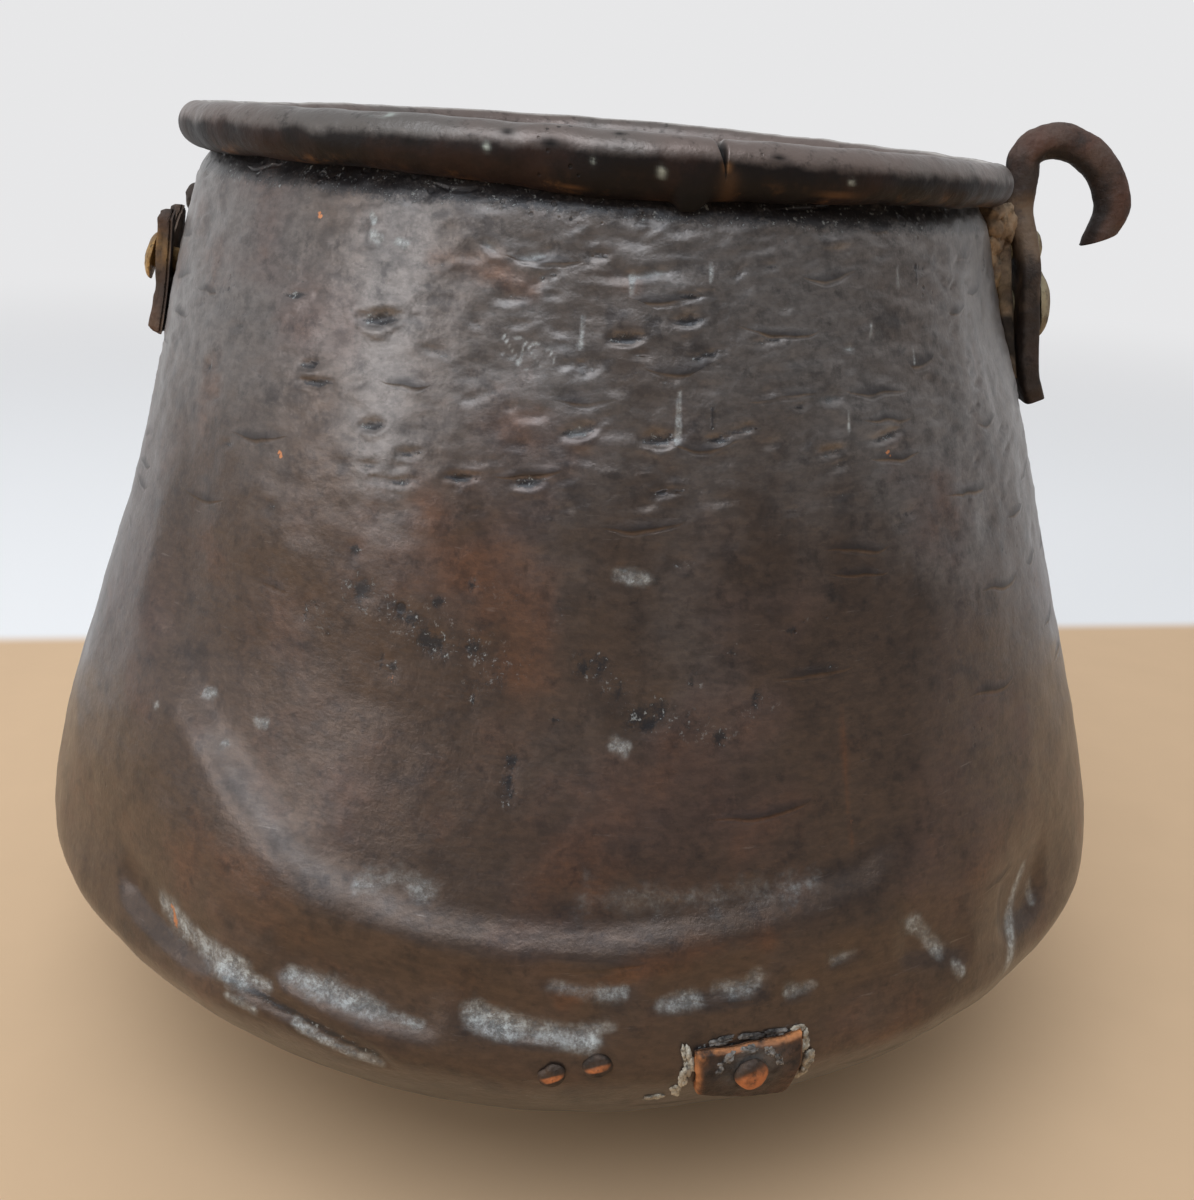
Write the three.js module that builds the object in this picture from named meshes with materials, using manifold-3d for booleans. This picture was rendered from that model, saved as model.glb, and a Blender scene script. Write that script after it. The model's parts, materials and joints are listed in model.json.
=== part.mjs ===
// A small cauldron-shaped copper pot, raised from one sheet and worn by long use.
// Millimetres, +Z up. The origin is the centre of the flat base, +X points to the iron hook,
// and -Y is the side that faces the viewer.
import * as THREE from "three";
import { mergeVertices } from "three/addons/utils/BufferGeometryUtils.js";
import Module from "manifold-3d";

const wasm = await Module();
wasm.setup();

// Fits
const gap = 0.3;
const holeClearance = 0.3;
const bellySeat = 1.1;
const cutterInward = 22;
const cutterOutward = 3;

// Copper sheet of the pot
const sheet = 1.4;
const baseRadius = 27;
const bellyRadius = 120;
const bellyHeight = 54;
const bowlFlat = 55;
const bowlRise = 9;
const wallRise = 14;
const neckRadius = 82;
const neckDrop = 10;
const wallLean = 0.29;
const leanRun = 52;

// Rolled rim and the wire inside it
const wireRadius = 2.1;
const rollPlay = 0.35;
const rollRise = 0.25;
const rollHeight = 193;
const rollEndAngle = -100;
const rimOverhang = 2.5;
const neckHeight = rollHeight - neckDrop;
const rimRadius = neckRadius + rimOverhang;
const hangingLip = 1.4;
const lipAzimuth = -86;
const lipSpread = 34;

// The mouth has dropped toward the hook, risen at the back and is slightly sprung
const mouthSlopeX = -0.03;
const mouthSlopeY = 0.02;
const mouthSpringHeight = 0.9;
const slopeStart = bellyHeight + 6;

// Split in the rolled rim
const splitAzimuth = -77.5;
const splitTopWidth = 3.4;
const splitBottomWidth = 1.1;
const splitLean = 1;
const splitMargin = 1;
const splitInset = 0.4;

// Large dents: azimuth and half width in degrees, height, half height and depth in mm
const dents = [
  { azimuth: -102, height: bellyHeight + 58, wide: 44, tall: 38, depth: 4.2 },
  { azimuth: -134, height: bellyHeight + 12, wide: 20, tall: 17, depth: 1.8 },
  { azimuth: -104, height: bellyHeight + 12, wide: 24, tall: 10, depth: 1.6 },
  { azimuth: -42, height: bellyHeight + 9, wide: 13, tall: 20, depth: 2.6 },
  { azimuth: -64, height: bellyHeight + 8, wide: 12, tall: 12, depth: 1.4 },
  { azimuth: 60, height: bellyHeight + 24, wide: 30, tall: 26, depth: 3.0 },
  { azimuth: 140, height: bellyHeight + 38, wide: 34, tall: 30, depth: 2.6 },
  { azimuth: -165, height: bellyHeight + 72, wide: 45, tall: 48, depth: 2.0 },
  { azimuth: -27, height: neckHeight - 12, wide: 22, tall: 26, depth: 2.2 },
];

// Iron hook and its tang
const hookAzimuth = -3;
const hookBar = 7.2;
const hookRise = 4.6;
const hookReach = 9.8;
const tipDrop = 19.1;
const tipShare = 1.85;
const tipBar = 6.7;
const tipCut = 0.75;
const tipCutStart = 0.84;
const stemStart = 5;
const stemEnd = 1.5;
const stemLean = 0.2;
const tangThickness = 4.4;
const tangWidth = 18;
const tangSquareness = 0.35;
const tangFootDrop = 37.6;
const tangFootStand = 1.4;
const tangLip = 0.9;
const tangHollow = 1.2;
const tangHollowRise = 5;
const tangTopDrop = 5;
const tangTopStand = 5.6;
const tangSwell = 0.8;
const shoulderMargin = 6;
const tangFoot = neckHeight - tangFootDrop;
const tangTop = neckHeight - tangTopDrop;

// Bow of the hook over its top: share of the reach out from the stem, and drop below the top
const hookBow = [
  { share: 0.02, drop: 3.6 },
  { share: 0.24, drop: 1.1 },
  { share: 0.64, drop: 0 },
  { share: 1.12, drop: 1.2 },
  { share: 1.57, drop: 4.2 },
  { share: 1.88, drop: 8.2 },
  { share: 2.02, drop: 12.8 },
];

// Rivets: drop below the neck, head radius, head height, shank radius
const lowerRivetDrop = 18;
const upperRivetDrop = 6.5;
const lowerRivet = { height: neckHeight - lowerRivetDrop, head: 8, rise: 2.8, shank: 3.2 };
const upperRivet = { height: neckHeight - upperRivetDrop, head: 3.2, rise: 1.2, shank: 2 };
const innerHead = { head: 6, rise: 2 };
const upperInnerHead = { head: 3.4, rise: 1.4 };

// Packing between the tang and the wall
const packingWidth = 13;
const packingTaper = 0.25;
const packingSlack = 1.05;
const packingTopDrop = 3;
const packingFootDrop = 33;
const packingTop = neckHeight - packingTopDrop;
const packingFoot = neckHeight - packingFootDrop;

// Broken strap on the other side
const stubAzimuth = 188;
const stubThickness = 2.6;
const stubWidth = 17;
const stubTopDrop = 8.5;
const stubFootDrop = 31.5;
const stubTop = neckHeight - stubTopDrop;
const stubFoot = neckHeight - stubFootDrop;
const stubFootStand = 0.5;
const stubTopStand = 2.6;
const stubNotch = 5.5;
const hornTurns = 1.5;
const hornShift = 0.25;
const stubSeat = 0.6;
const stubRivetDrop = 17.5;
const leftRivetDrop = 4.5;
const stubRivet = { height: neckHeight - stubRivetDrop, head: 5, rise: 1.8, shank: 2.6 };
const leftRivet = { height: neckHeight - leftRivetDrop, head: 3, rise: 1.8, shank: 1.8 };

// Riveted patch low on the belly
const patchAzimuth = -75.4;
const patchHeight = bellyHeight - 2;
const patchWidth = 18;
const patchTall = 13;
const patchThickness = 1.2;
const patchLift = 0.5;
const patchSkew = 1.6;
const patchRivetRise = 2;
const patchRivet = { head: 2.9, rise: 1.5, shank: 1.5 };
const roveRadius = 3.6;
const roveSeat = 1.8;
const roveThickness = 1;
const closingHead = { head: 2.9, rise: 1.2 };

// Two copper plugs that close pinholes
const plugs = [
  { name: "plug_rivet_left", azimuth: -90.7, height: bellyHeight - 0.2 },
  { name: "plug_rivet_right", azimuth: -87.3, height: bellyHeight + 1.8 },
];
const plugRivet = { head: 2.1, rise: 0.8, shank: 1.2 };

// Facets
const turns = 60;
const bowlSteps = 12;
const wallSteps = 11;
const shoulderSteps = 3;
const rollSteps = 9;
const wireSides = 10;
const rivetSides = 20;
const headSteps = 4;
const plateSteps = 8;
const hookSteps = 45;
const hookSides = 12;

const rad = THREE.MathUtils.degToRad;

// The roll is an oval: the sheet wraps the wire with a little play, more of it up and down.
const rollInner = { r: wireRadius + rollPlay, z: wireRadius + rollPlay + rollRise };
const rollOuter = { r: rollInner.r + sheet, z: rollInner.z + sheet };
const rollRadius = rimRadius - rollOuter.r;
const throatRadius = rollRadius - rollInner.r;
const throatHeight = rollHeight - rollInner.z * 0.5;

// Outer outline of the wall as three cubic curves from the base to the throat of the rim
const bowlCurve = new THREE.CubicBezierCurve(
  new THREE.Vector2(baseRadius, 0),
  new THREE.Vector2(baseRadius + bowlFlat, 0),
  new THREE.Vector2(bellyRadius, bellyHeight - bowlRise),
  new THREE.Vector2(bellyRadius, bellyHeight),
);
const wallCurve = new THREE.CubicBezierCurve(
  new THREE.Vector2(bellyRadius, bellyHeight),
  new THREE.Vector2(bellyRadius, bellyHeight + wallRise),
  new THREE.Vector2(neckRadius + wallLean * leanRun, neckHeight - leanRun),
  new THREE.Vector2(neckRadius, neckHeight),
);
const shoulderRun = (throatHeight - neckHeight) / 2;
const shoulderCurve = new THREE.CubicBezierCurve(
  new THREE.Vector2(neckRadius, neckHeight),
  new THREE.Vector2(neckRadius - wallLean * shoulderRun, neckHeight + shoulderRun),
  new THREE.Vector2(throatRadius, throatHeight - shoulderRun),
  new THREE.Vector2(throatRadius, throatHeight),
);

function smooth(t) {
  const x = THREE.MathUtils.clamp(t, 0, 1);
  return x * x * (3 - 2 * x);
}

// Root of a rising function between two values
function rootOf(rising, from, to) {
  let [low, high] = [from, to];
  for (let i = 0; i < 40; i += 1) {
    const middle = (low + high) / 2;
    if (rising(middle) < 0) {
      low = middle;
    } else {
      high = middle;
    }
  }
  return low;
}

// Shortest turn between two azimuths in degrees
function turnBetween(a, b) {
  return THREE.MathUtils.euclideanModulo(a - b + 180, 360) - 180;
}

// How far the dents push the wall in at an azimuth (degrees) and a height
function dentDepth(azimuth, height) {
  let depth = 0;
  for (const dent of dents) {
    const u = turnBetween(azimuth, dent.azimuth) / dent.wide;
    const v = (height - dent.height) / dent.tall;
    depth += dent.depth * smooth(1 - Math.hypot(u, v));
  }
  return depth;
}

// Carries a point of the true round form to its place on the worn pot
function worn(radius, azimuth, height) {
  const angle = rad(azimuth);
  const r = radius - dentDepth(azimuth, height);
  const x = r * Math.cos(angle);
  const y = r * Math.sin(angle);
  const share = smooth((height - slopeStart) / (neckHeight - slopeStart));
  const spring = mouthSpringHeight * Math.cos(2 * angle);
  return new THREE.Vector3(x, y, height + share * (mouthSlopeX * x + mouthSlopeY * y - spring));
}

// Radius of the outer outline at a height of the true form
function outlineRadius(height) {
  const curve = height < bellyHeight ? bowlCurve : height < neckHeight ? wallCurve : shoulderCurve;
  return curve.getPoint(rootOf((t) => curve.getPoint(t).y - height, 0, 1)).x;
}

// Place on the worn outer wall, with the wall's own directions there
function wallFrame(azimuth, height) {
  const small = 0.2;
  const at = (a, h) => worn(outlineRadius(h), a, h);
  const origin = at(azimuth, height);
  const around = at(azimuth + small, height).sub(at(azimuth - small, height)).normalize();
  const up = at(azimuth, height + small).sub(at(azimuth, height - small)).normalize();
  const out = new THREE.Vector3().crossVectors(around, up).normalize();
  const upright = new THREE.Vector3().crossVectors(out, around);
  return { origin, around, up: upright, out };
}

// How deep a flat head of this radius would cut into the round, faceted wall behind it
function headSag(head, radius) {
  const facet = radius * (1 - Math.cos(Math.PI / turns));
  return radius - Math.sqrt(radius * radius - head * head) + facet;
}

function frameMatrix(frame, lift = 0) {
  const matrix = new THREE.Matrix4().makeBasis(frame.around, frame.up, frame.out);
  return matrix.setPosition(frame.origin.clone().addScaledVector(frame.out, lift));
}

// Joins equal corners, drops collapsed faces and turns the faces outward.
function closed(geometry) {
  const bare = geometry.clone();
  bare.deleteAttribute("normal");
  bare.deleteAttribute("uv");
  const joined = mergeVertices(bare, 1e-4);
  const position = joined.getAttribute("position");
  const index = joined.getIndex().array;
  const kept = [];
  const a = new THREE.Vector3();
  const b = new THREE.Vector3();
  const c = new THREE.Vector3();
  let volume = 0;
  for (let i = 0; i < index.length; i += 3) {
    const [p, q, r] = [index[i], index[i + 1], index[i + 2]];
    if (p !== q && q !== r && r !== p) {
      kept.push(p, q, r);
      a.fromBufferAttribute(position, p);
      b.fromBufferAttribute(position, q);
      c.fromBufferAttribute(position, r);
      volume += a.dot(b.cross(c));
    }
  }
  if (volume < 0) {
    kept.reverse();
  }
  joined.setIndex(kept);
  return joined;
}

function toSolid(geometry) {
  const whole = closed(geometry);
  return new wasm.Manifold(
    new wasm.Mesh({
      numProp: 3,
      vertProperties: new Float32Array(whole.getAttribute("position").array),
      triVerts: new Uint32Array(whole.getIndex().array),
    }),
  );
}

function toGeometry(solid) {
  const mesh = solid.getMesh();
  const geometry = new THREE.BufferGeometry();
  geometry.setAttribute("position", new THREE.BufferAttribute(new Float32Array(mesh.vertProperties), 3));
  geometry.setIndex(new THREE.BufferAttribute(new Uint32Array(mesh.triVerts), 1));
  return geometry;
}

// Skin over rings of points, each ring closed, with a flat cap on the first and the last ring
function loft(rings) {
  const sides = rings[0].length;
  const points = rings.flat();
  const faces = [];
  for (let i = 0; i + 1 < rings.length; i += 1) {
    for (let j = 0; j < sides; j += 1) {
      const k = (j + 1) % sides;
      const [a, b, c, d] = [i * sides + j, i * sides + k, (i + 1) * sides + k, (i + 1) * sides + j];
      faces.push(a, b, c, a, c, d);
    }
  }
  for (const [ring, turned] of [[0, true], [rings.length - 1, false]]) {
    const middle = new THREE.Vector3();
    rings[ring].forEach((p) => middle.addScaledVector(p, 1 / sides));
    points.push(middle);
    for (let j = 0; j < sides; j += 1) {
      const [a, b] = [ring * sides + j, ring * sides + ((j + 1) % sides)];
      faces.push(...(turned ? [b, a, points.length - 1] : [a, b, points.length - 1]));
    }
  }
  const geometry = new THREE.BufferGeometry().setFromPoints(points);
  geometry.setIndex(faces);
  return closed(geometry);
}

// Closed plate between two fields of points over the unit square, counted in steps
function plate(stepsU, stepsV, outer, inner) {
  const rings = [];
  for (let i = 0; i <= stepsU; i += 1) {
    const u = i / stepsU;
    const ring = [];
    for (let j = 0; j <= stepsV; j += 1) {
      ring.push(outer(u, j / stepsV));
    }
    for (let j = stepsV; j >= 0; j -= 1) {
      ring.push(inner(u, j / stepsV));
    }
    rings.push(ring);
  }
  return loft(rings);
}

// The rivet's outline: dome on +Z, shank, and a hammered head on -Z, as one turned solid
function rivetGeometry(outer, grip, inner) {
  const points = [new THREE.Vector2(0, -grip - inner.rise)];
  for (let i = 1; i <= headSteps; i += 1) {
    const t = (i / headSteps) * (Math.PI / 2);
    points.push(new THREE.Vector2(inner.head * Math.sin(t), -grip - inner.rise * Math.cos(t)));
  }
  points.push(new THREE.Vector2(outer.shank, -grip));
  points.push(new THREE.Vector2(outer.shank, 0));
  for (let i = headSteps; i >= 1; i -= 1) {
    const t = (i / headSteps) * (Math.PI / 2);
    points.push(new THREE.Vector2(outer.head * Math.sin(t), outer.rise * Math.cos(t)));
  }
  points.push(new THREE.Vector2(0, outer.rise));
  return new THREE.LatheGeometry(points, rivetSides).rotateX(Math.PI / 2);
}

// Round bar along the rivet that cuts its hole, from just before the head to well behind the wall
function holeCutter(radius, matrix) {
  const wide = radius + holeClearance;
  const bar = new THREE.CylinderGeometry(wide, wide, cutterInward + cutterOutward, rivetSides);
  bar.rotateX(Math.PI / 2).translate(0, 0, (cutterOutward - cutterInward) / 2);
  return toSolid(bar.applyMatrix4(matrix));
}

// Radius of the worn outer wall on the plane of the hook, at a real height
function hookWall(level) {
  const at = (height) => worn(outlineRadius(height), hookAzimuth, height);
  const p = at(rootOf((height) => at(height).z - level, 0, throatHeight));
  return Math.hypot(p.x, p.y);
}

// Where the tang's inner face runs: its radius at a real height, on the plane of the hook
function tangFace(level) {
  const t = (level - tangFoot) / (tangTop - tangFoot);
  return hookWall(level) + THREE.MathUtils.lerp(tangFootStand, tangTopStand, t);
}

function hookPlane(radius, height, across = 0) {
  const angle = rad(hookAzimuth);
  return new THREE.Vector3(
    radius * Math.cos(angle) - across * Math.sin(angle),
    radius * Math.sin(angle) + across * Math.cos(angle),
    height,
  );
}

const rimDrop = worn(rimRadius, hookAzimuth, rollHeight).z - rollHeight;
const stemRadius = rimRadius + gap + hookBar / 2;
const rimLevel = rollHeight + rimDrop;
const hookTopHeight = rimLevel + rollOuter.z + hookRise;

// Centre line of the hook from the tang's foot to the cut tip, as radius and height
function hookLine() {
  const half = tangThickness / 2;
  const foot = tangFace(tangFoot) + half;
  const middle = (tangFoot + tangTop) / 2;
  const bowPoint = (share, drop, bar) => new THREE.Vector3(
    stemRadius + hookReach * share,
    hookTopHeight - drop,
    bar,
  );
  return new THREE.CatmullRomCurve3(
    [
      new THREE.Vector3(foot + tangLip, tangFoot, tangThickness),
      new THREE.Vector3(foot - tangHollow, tangFoot + tangHollowRise, tangThickness),
      new THREE.Vector3(tangFace(middle) + half, middle, tangThickness),
      new THREE.Vector3(tangFace(tangTop) + half + tangSwell / 2, tangTop, tangThickness + tangSwell),
      new THREE.Vector3(stemRadius, rimLevel - stemStart, hookBar),
      new THREE.Vector3(stemRadius + stemLean, rimLevel + stemEnd, hookBar),
      ...hookBow.map(({ share, drop }) => bowPoint(share, drop, hookBar)),
      bowPoint(tipShare, tipDrop, tipBar),
    ],
    false,
    "centripetal",
  );
}

// Forged section: wide and flat on the tang, near round on the hook, cut slantwise at the tip
function hookGeometry() {
  const line = hookLine();
  const rings = [];
  const shoulderLow = lowerRivet.height + shoulderMargin;
  const shoulderHigh = rollHeight - shoulderMargin;
  for (let i = 0; i <= hookSteps; i += 1) {
    const t = i / hookSteps;
    const p = line.getPoint(t);
    const q = line.getTangent(t);
    const run = new THREE.Vector2(q.x, q.y).normalize();
    const spread = 1 - smooth((p.y - shoulderLow) / (shoulderHigh - shoulderLow));
    const early = t < 0.5 ? spread : 0;
    const width = THREE.MathUtils.lerp(p.z, tangWidth, early) / 2;
    const round = THREE.MathUtils.lerp(1, tangSquareness, early);
    const cut = tipCut * smooth((t - tipCutStart) / (1 - tipCutStart));
    const ring = [];
    for (let j = 0; j < hookSides; j += 1) {
      const a = ((j + 0.5) / hookSides) * 2 * Math.PI;
      const c = Math.sign(Math.cos(a)) * Math.abs(Math.cos(a)) ** round;
      const s = Math.sign(Math.sin(a)) * Math.abs(Math.sin(a)) ** round;
      const out = (p.z / 2) * s;
      const along = out * cut;
      ring.push(hookPlane(p.x + out * run.y + along * run.x, p.y - out * run.x + along * run.y, width * c));
    }
    rings.push(ring);
  }
  return loft(rings);
}

// Packing between wall and tang: it follows the round wall inside and the flat tang outside
function packingGeometry() {
  const edge = packingWidth / 2;
  const heightAt = (u) => THREE.MathUtils.lerp(packingFoot, packingTop, u);
  const acrossAt = (v) => THREE.MathUtils.lerp(-edge, edge, v);
  const narrow = (u) => 1 - packingTaper * u;
  const outer = (u, v) => {
    const h = heightAt(u);
    return hookPlane(tangFace(h) - packingSlack, h, acrossAt(v) * narrow(u));
  };
  const inner = (u, v) => {
    const h = heightAt(u);
    const across = acrossAt(v) * narrow(u);
    const wall = hookWall(h) + 2 * gap;
    return hookPlane(Math.sqrt(wall * wall - across * across), h, across);
  };
  return plate(plateSteps, plateSteps, outer, inner);
}

// Broken strap: a bent plate whose top edge is torn into two horns
function stubGeometry() {
  const edge = stubWidth / 2;
  const along = (u, v) => {
    const torn = stubNotch * Math.abs(Math.sin(Math.PI * (v * hornTurns + hornShift)));
    const top = stubTop - stubNotch + torn;
    return THREE.MathUtils.lerp(stubFoot, top, u);
  };
  const point = (u, v, lift) => {
    const h = along(u, v);
    const across = THREE.MathUtils.lerp(-edge, edge, v);
    const azimuth = stubAzimuth + THREE.MathUtils.radToDeg(across / outlineRadius(h));
    const stand = THREE.MathUtils.lerp(stubFootStand, stubTopStand, u * u);
    const frame = wallFrame(azimuth, h);
    return frame.origin.addScaledVector(frame.out, stand + lift);
  };
  const outer = (u, v) => point(u, v, stubThickness);
  return plate(plateSteps, plateSteps, outer, (u, v) => point(u, v, 0));
}

function patchPoint(u, v, lift) {
  const across = (u - 0.5) * (patchWidth - patchSkew * (0.5 - v));
  const height = patchHeight + (v - 0.5) * patchTall + patchSkew * (u - 0.5) * (v - 0.5);
  const azimuth = patchAzimuth + THREE.MathUtils.radToDeg(across / outlineRadius(height));
  const frame = wallFrame(azimuth, height);
  return frame.origin.addScaledVector(frame.out, lift);
}

function patchGeometry() {
  const outer = (u, v) => patchPoint(u, v, patchLift + patchThickness);
  return plate(plateSteps, plateSteps, outer, (u, v) => patchPoint(u, v, patchLift));
}

// The pot: flat base, bowl, wall and shoulder outside, once round the wire, and back inside
function potGeometry() {
  const outside = [new THREE.Vector2(0, 0), ...bowlCurve.getPoints(bowlSteps)];
  outside.push(...wallCurve.getPoints(wallSteps).slice(1));
  outside.push(...shoulderCurve.getPoints(shoulderSteps).slice(1));
  const startAngle = 180 + THREE.MathUtils.radToDeg(Math.asin((rollHeight - throatHeight) / rollInner.z));
  const arc = (half, angle) => new THREE.Vector2(
    rollRadius + half.r * Math.cos(rad(angle)),
    rollHeight + half.z * Math.sin(rad(angle)),
  );
  const wrap = [];
  for (let i = 0; i <= rollSteps; i += 1) {
    wrap.push(THREE.MathUtils.lerp(startAngle, rollEndAngle, i / rollSteps));
  }
  const rollInside = wrap.slice(1).map((angle) => arc(rollInner, angle));
  const rollOutside = [...wrap].reverse().map((angle) => arc(rollOuter, angle));
  const inside = [];
  for (const [curve, steps] of [[shoulderCurve, shoulderSteps], [wallCurve, wallSteps], [bowlCurve, bowlSteps]]) {
    for (let i = steps - 1; i >= 0; i -= 1) {
      const p = curve.getPoint(i / steps);
      const q = curve.getTangent(i / steps);
      inside.push(new THREE.Vector2(p.x - q.y * sheet, p.y + q.x * sheet));
    }
  }
  const profile = [...outside, ...rollInside, ...rollOutside, ...inside, new THREE.Vector2(0, sheet)];
  const geometry = new THREE.LatheGeometry(profile, turns).rotateX(Math.PI / 2);
  const position = geometry.getAttribute("position");
  const rollFoot = rollHeight - rollOuter.z;
  for (let i = 0; i < position.count; i += 1) {
    const x = position.getX(i);
    const y = position.getY(i);
    const z = position.getZ(i);
    const radius = Math.hypot(x, y);
    const azimuth = THREE.MathUtils.radToDeg(Math.atan2(y, x));
    const p = worn(radius, azimuth, z);
    const near = smooth(1 - Math.abs(turnBetween(azimuth, lipAzimuth)) / lipSpread);
    const hang = z < rollHeight && z > rollFoot - 1 && radius > rollRadius ? near * hangingLip : 0;
    position.setXYZ(i, p.x, p.y, p.z - hang * ((rollHeight - z) / rollOuter.z));
  }
  return geometry;
}

// Wedge that splits the roll open from above, clear of the wire
function splitCutter() {
  const low = rollHeight - rollOuter.z - hangingLip - splitMargin;
  const high = rollHeight + rollOuter.z + splitMargin;
  const outline = new THREE.Shape();
  outline.moveTo(-splitBottomWidth / 2, low);
  outline.lineTo(splitBottomWidth / 2, low);
  outline.lineTo(splitTopWidth / 2 + splitLean, high);
  outline.lineTo(-splitTopWidth / 2 + splitLean, high);
  outline.closePath();
  const depth = 2 * rollOuter.r;
  const wedge = new THREE.ExtrudeGeometry(outline, { depth, bevelEnabled: false });
  const angle = rad(splitAzimuth);
  const basis = new THREE.Matrix4().makeBasis(
    new THREE.Vector3(-Math.sin(angle), Math.cos(angle), 0),
    new THREE.Vector3(0, 0, 1),
    new THREE.Vector3(Math.cos(angle), Math.sin(angle), 0),
  );
  const drop = worn(rimRadius, splitAzimuth, rollHeight).z - rollHeight;
  const start = rollRadius - splitInset;
  basis.setPosition(start * Math.cos(angle), start * Math.sin(angle), drop);
  return toSolid(wedge.applyMatrix4(basis));
}

function wireGeometry() {
  const ring = new THREE.TorusGeometry(rollRadius, wireRadius, wireSides, turns);
  const position = ring.getAttribute("position");
  for (let i = 0; i < position.count; i += 1) {
    const x = position.getX(i);
    const y = position.getY(i);
    const azimuth = THREE.MathUtils.radToDeg(Math.atan2(y, x));
    const p = worn(Math.hypot(x, y), azimuth, rollHeight);
    position.setXYZ(i, p.x, p.y, p.z + position.getZ(i));
  }
  return ring;
}

// Finishes
const finishes = {
  copper: { color: 0x4f3d33, roughness: 0.5, metalness: 0.85 },
  brightCopper: { color: 0xb5673c, roughness: 0.4, metalness: 0.9 },
  iron: { color: 0x3a2c25, roughness: 0.75, metalness: 0.6 },
  packing: { color: 0xa58a52, roughness: 0.9, metalness: 0 },
  brass: { color: 0x8a6a35, roughness: 0.5, metalness: 0.85 },
};

const pot = new THREE.Group();

function add(name, solid, finish) {
  const mesh = new THREE.Mesh(toGeometry(solid), new THREE.MeshStandardMaterial(finishes[finish]));
  mesh.name = name;
  pot.add(mesh);
}

// A tang rivet stands square on the tang's outer face and is closed inside the wall.
function tangRivet(rivet, inner) {
  const line = hookLine();
  const t = rootOf((x) => line.getPoint(x).y - rivet.height, 0, 0.4);
  const p = line.getPoint(t);
  const q = line.getTangent(t);
  const run = new THREE.Vector2(q.x, q.y).normalize();
  const out = new THREE.Vector2(run.y, -run.x);
  const face = new THREE.Vector2(p.x, p.y).addScaledVector(out, p.z / 2 + gap);
  const depth = rootOf((d) => hookWall(face.y - d * out.y) - face.x + d * out.x, 0, 30);
  const frame = {
    origin: hookPlane(face.x, face.y),
    around: hookPlane(0, 0, 1),
    out: hookPlane(out.x, out.y),
  };
  frame.up = new THREE.Vector3().crossVectors(frame.out, frame.around);
  const matrix = frameMatrix(frame);
  const level = face.y - depth * out.y;
  const wallTilt = Math.atan((hookWall(level - 1) - hookWall(level + 1)) / 2);
  const tilt = Math.abs(wallTilt - Math.atan2(out.y, out.x));
  const grip = depth + sheet + gap + headSag(inner.head, face.x) + inner.head * Math.tan(tilt);
  return {
    solid: toSolid(rivetGeometry(rivet, grip, inner).applyMatrix4(matrix)),
    hole: holeCutter(rivet.shank, matrix),
  };
}

// A strap rivet sits on the plate's outer face; its grip reaches the inside of the wall.
function strapRivet(azimuth, rivet, stand, inner) {
  const frame = wallFrame(azimuth, rivet.height);
  const matrix = frameMatrix(frame, stand + gap);
  const grip = stand + gap + sheet + gap + headSag(inner.head, outlineRadius(rivet.height));
  return {
    solid: toSolid(rivetGeometry(rivet, grip, inner).applyMatrix4(matrix)),
    hole: holeCutter(rivet.shank, matrix),
  };
}

const stubShare = (stubRivet.height - stubFoot) / (stubTop - stubNotch - stubFoot);
const stubStand = THREE.MathUtils.lerp(stubFootStand, stubTopStand, stubShare * stubShare) + stubThickness;

const hookLower = tangRivet(lowerRivet, innerHead);
const hookUpper = tangRivet(upperRivet, upperInnerHead);
const stubPin = strapRivet(stubAzimuth, stubRivet, stubStand + stubSeat, innerHead);
const leftPin = strapRivet(stubAzimuth, leftRivet, 0, upperInnerHead);

const patchFrame = wallFrame(patchAzimuth, patchHeight + patchRivetRise);
const patchPin = frameMatrix(patchFrame, patchLift + patchThickness + gap);
const patchGrip = patchLift + patchThickness + gap + sheet + roveSeat + roveThickness + gap;
const patchHole = holeCutter(patchRivet.shank, patchPin);
const roveDisc = new THREE.CylinderGeometry(roveRadius, roveRadius, roveThickness, rivetSides);
roveDisc.rotateX(Math.PI / 2);
roveDisc.applyMatrix4(frameMatrix(patchFrame, -sheet - roveSeat - roveThickness / 2));

let body = toSolid(potGeometry()).subtract(splitCutter());
for (const hole of [hookLower.hole, hookUpper.hole, stubPin.hole, leftPin.hole, patchHole]) {
  body = body.subtract(hole);
}

for (const plug of plugs) {
  const matrix = frameMatrix(wallFrame(plug.azimuth, plug.height), gap);
  const head = { head: plugRivet.head, rise: plugRivet.rise };
  body = body.subtract(holeCutter(plugRivet.shank, matrix));
  add(plug.name, toSolid(rivetGeometry(plugRivet, sheet + gap + bellySeat, head).applyMatrix4(matrix)), "brightCopper");
}

const hook = toSolid(hookGeometry()).subtract(hookLower.hole).subtract(hookUpper.hole);
const packing = toSolid(packingGeometry()).subtract(hookLower.hole).subtract(hookUpper.hole);

add("pot_body", body, "copper");
add("rim_wire", toSolid(wireGeometry()), "iron");
add("hook_strap", hook, "iron");
add("hook_packing", packing, "packing");
add("hook_lower_rivet", hookLower.solid, "iron");
add("hook_upper_rivet", hookUpper.solid, "iron");
add("broken_strap", toSolid(stubGeometry()).subtract(stubPin.hole), "iron");
add("broken_strap_rivet", stubPin.solid, "brass");
add("left_neck_rivet", leftPin.solid, "iron");
add("patch_plate", toSolid(patchGeometry()).subtract(patchHole), "brightCopper");
add("patch_rivet", toSolid(rivetGeometry(patchRivet, patchGrip, closingHead).applyMatrix4(patchPin)), "brightCopper");
add("patch_rove", toSolid(roveDisc).subtract(patchHole), "copper");

export default pot;
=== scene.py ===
"""The looks of a small old copper pot: hammered sheet, wired rim, iron hook and riveted patch.

Sizes are in millimetres in the code and become metres where a mesh is made. An azimuth is in degrees
from +X, counted towards +Y, so the side that faces the camera is at -90. A height is measured on the
true round form, before the mouth's slope carries it to its place on the worn pot.
"""

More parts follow.
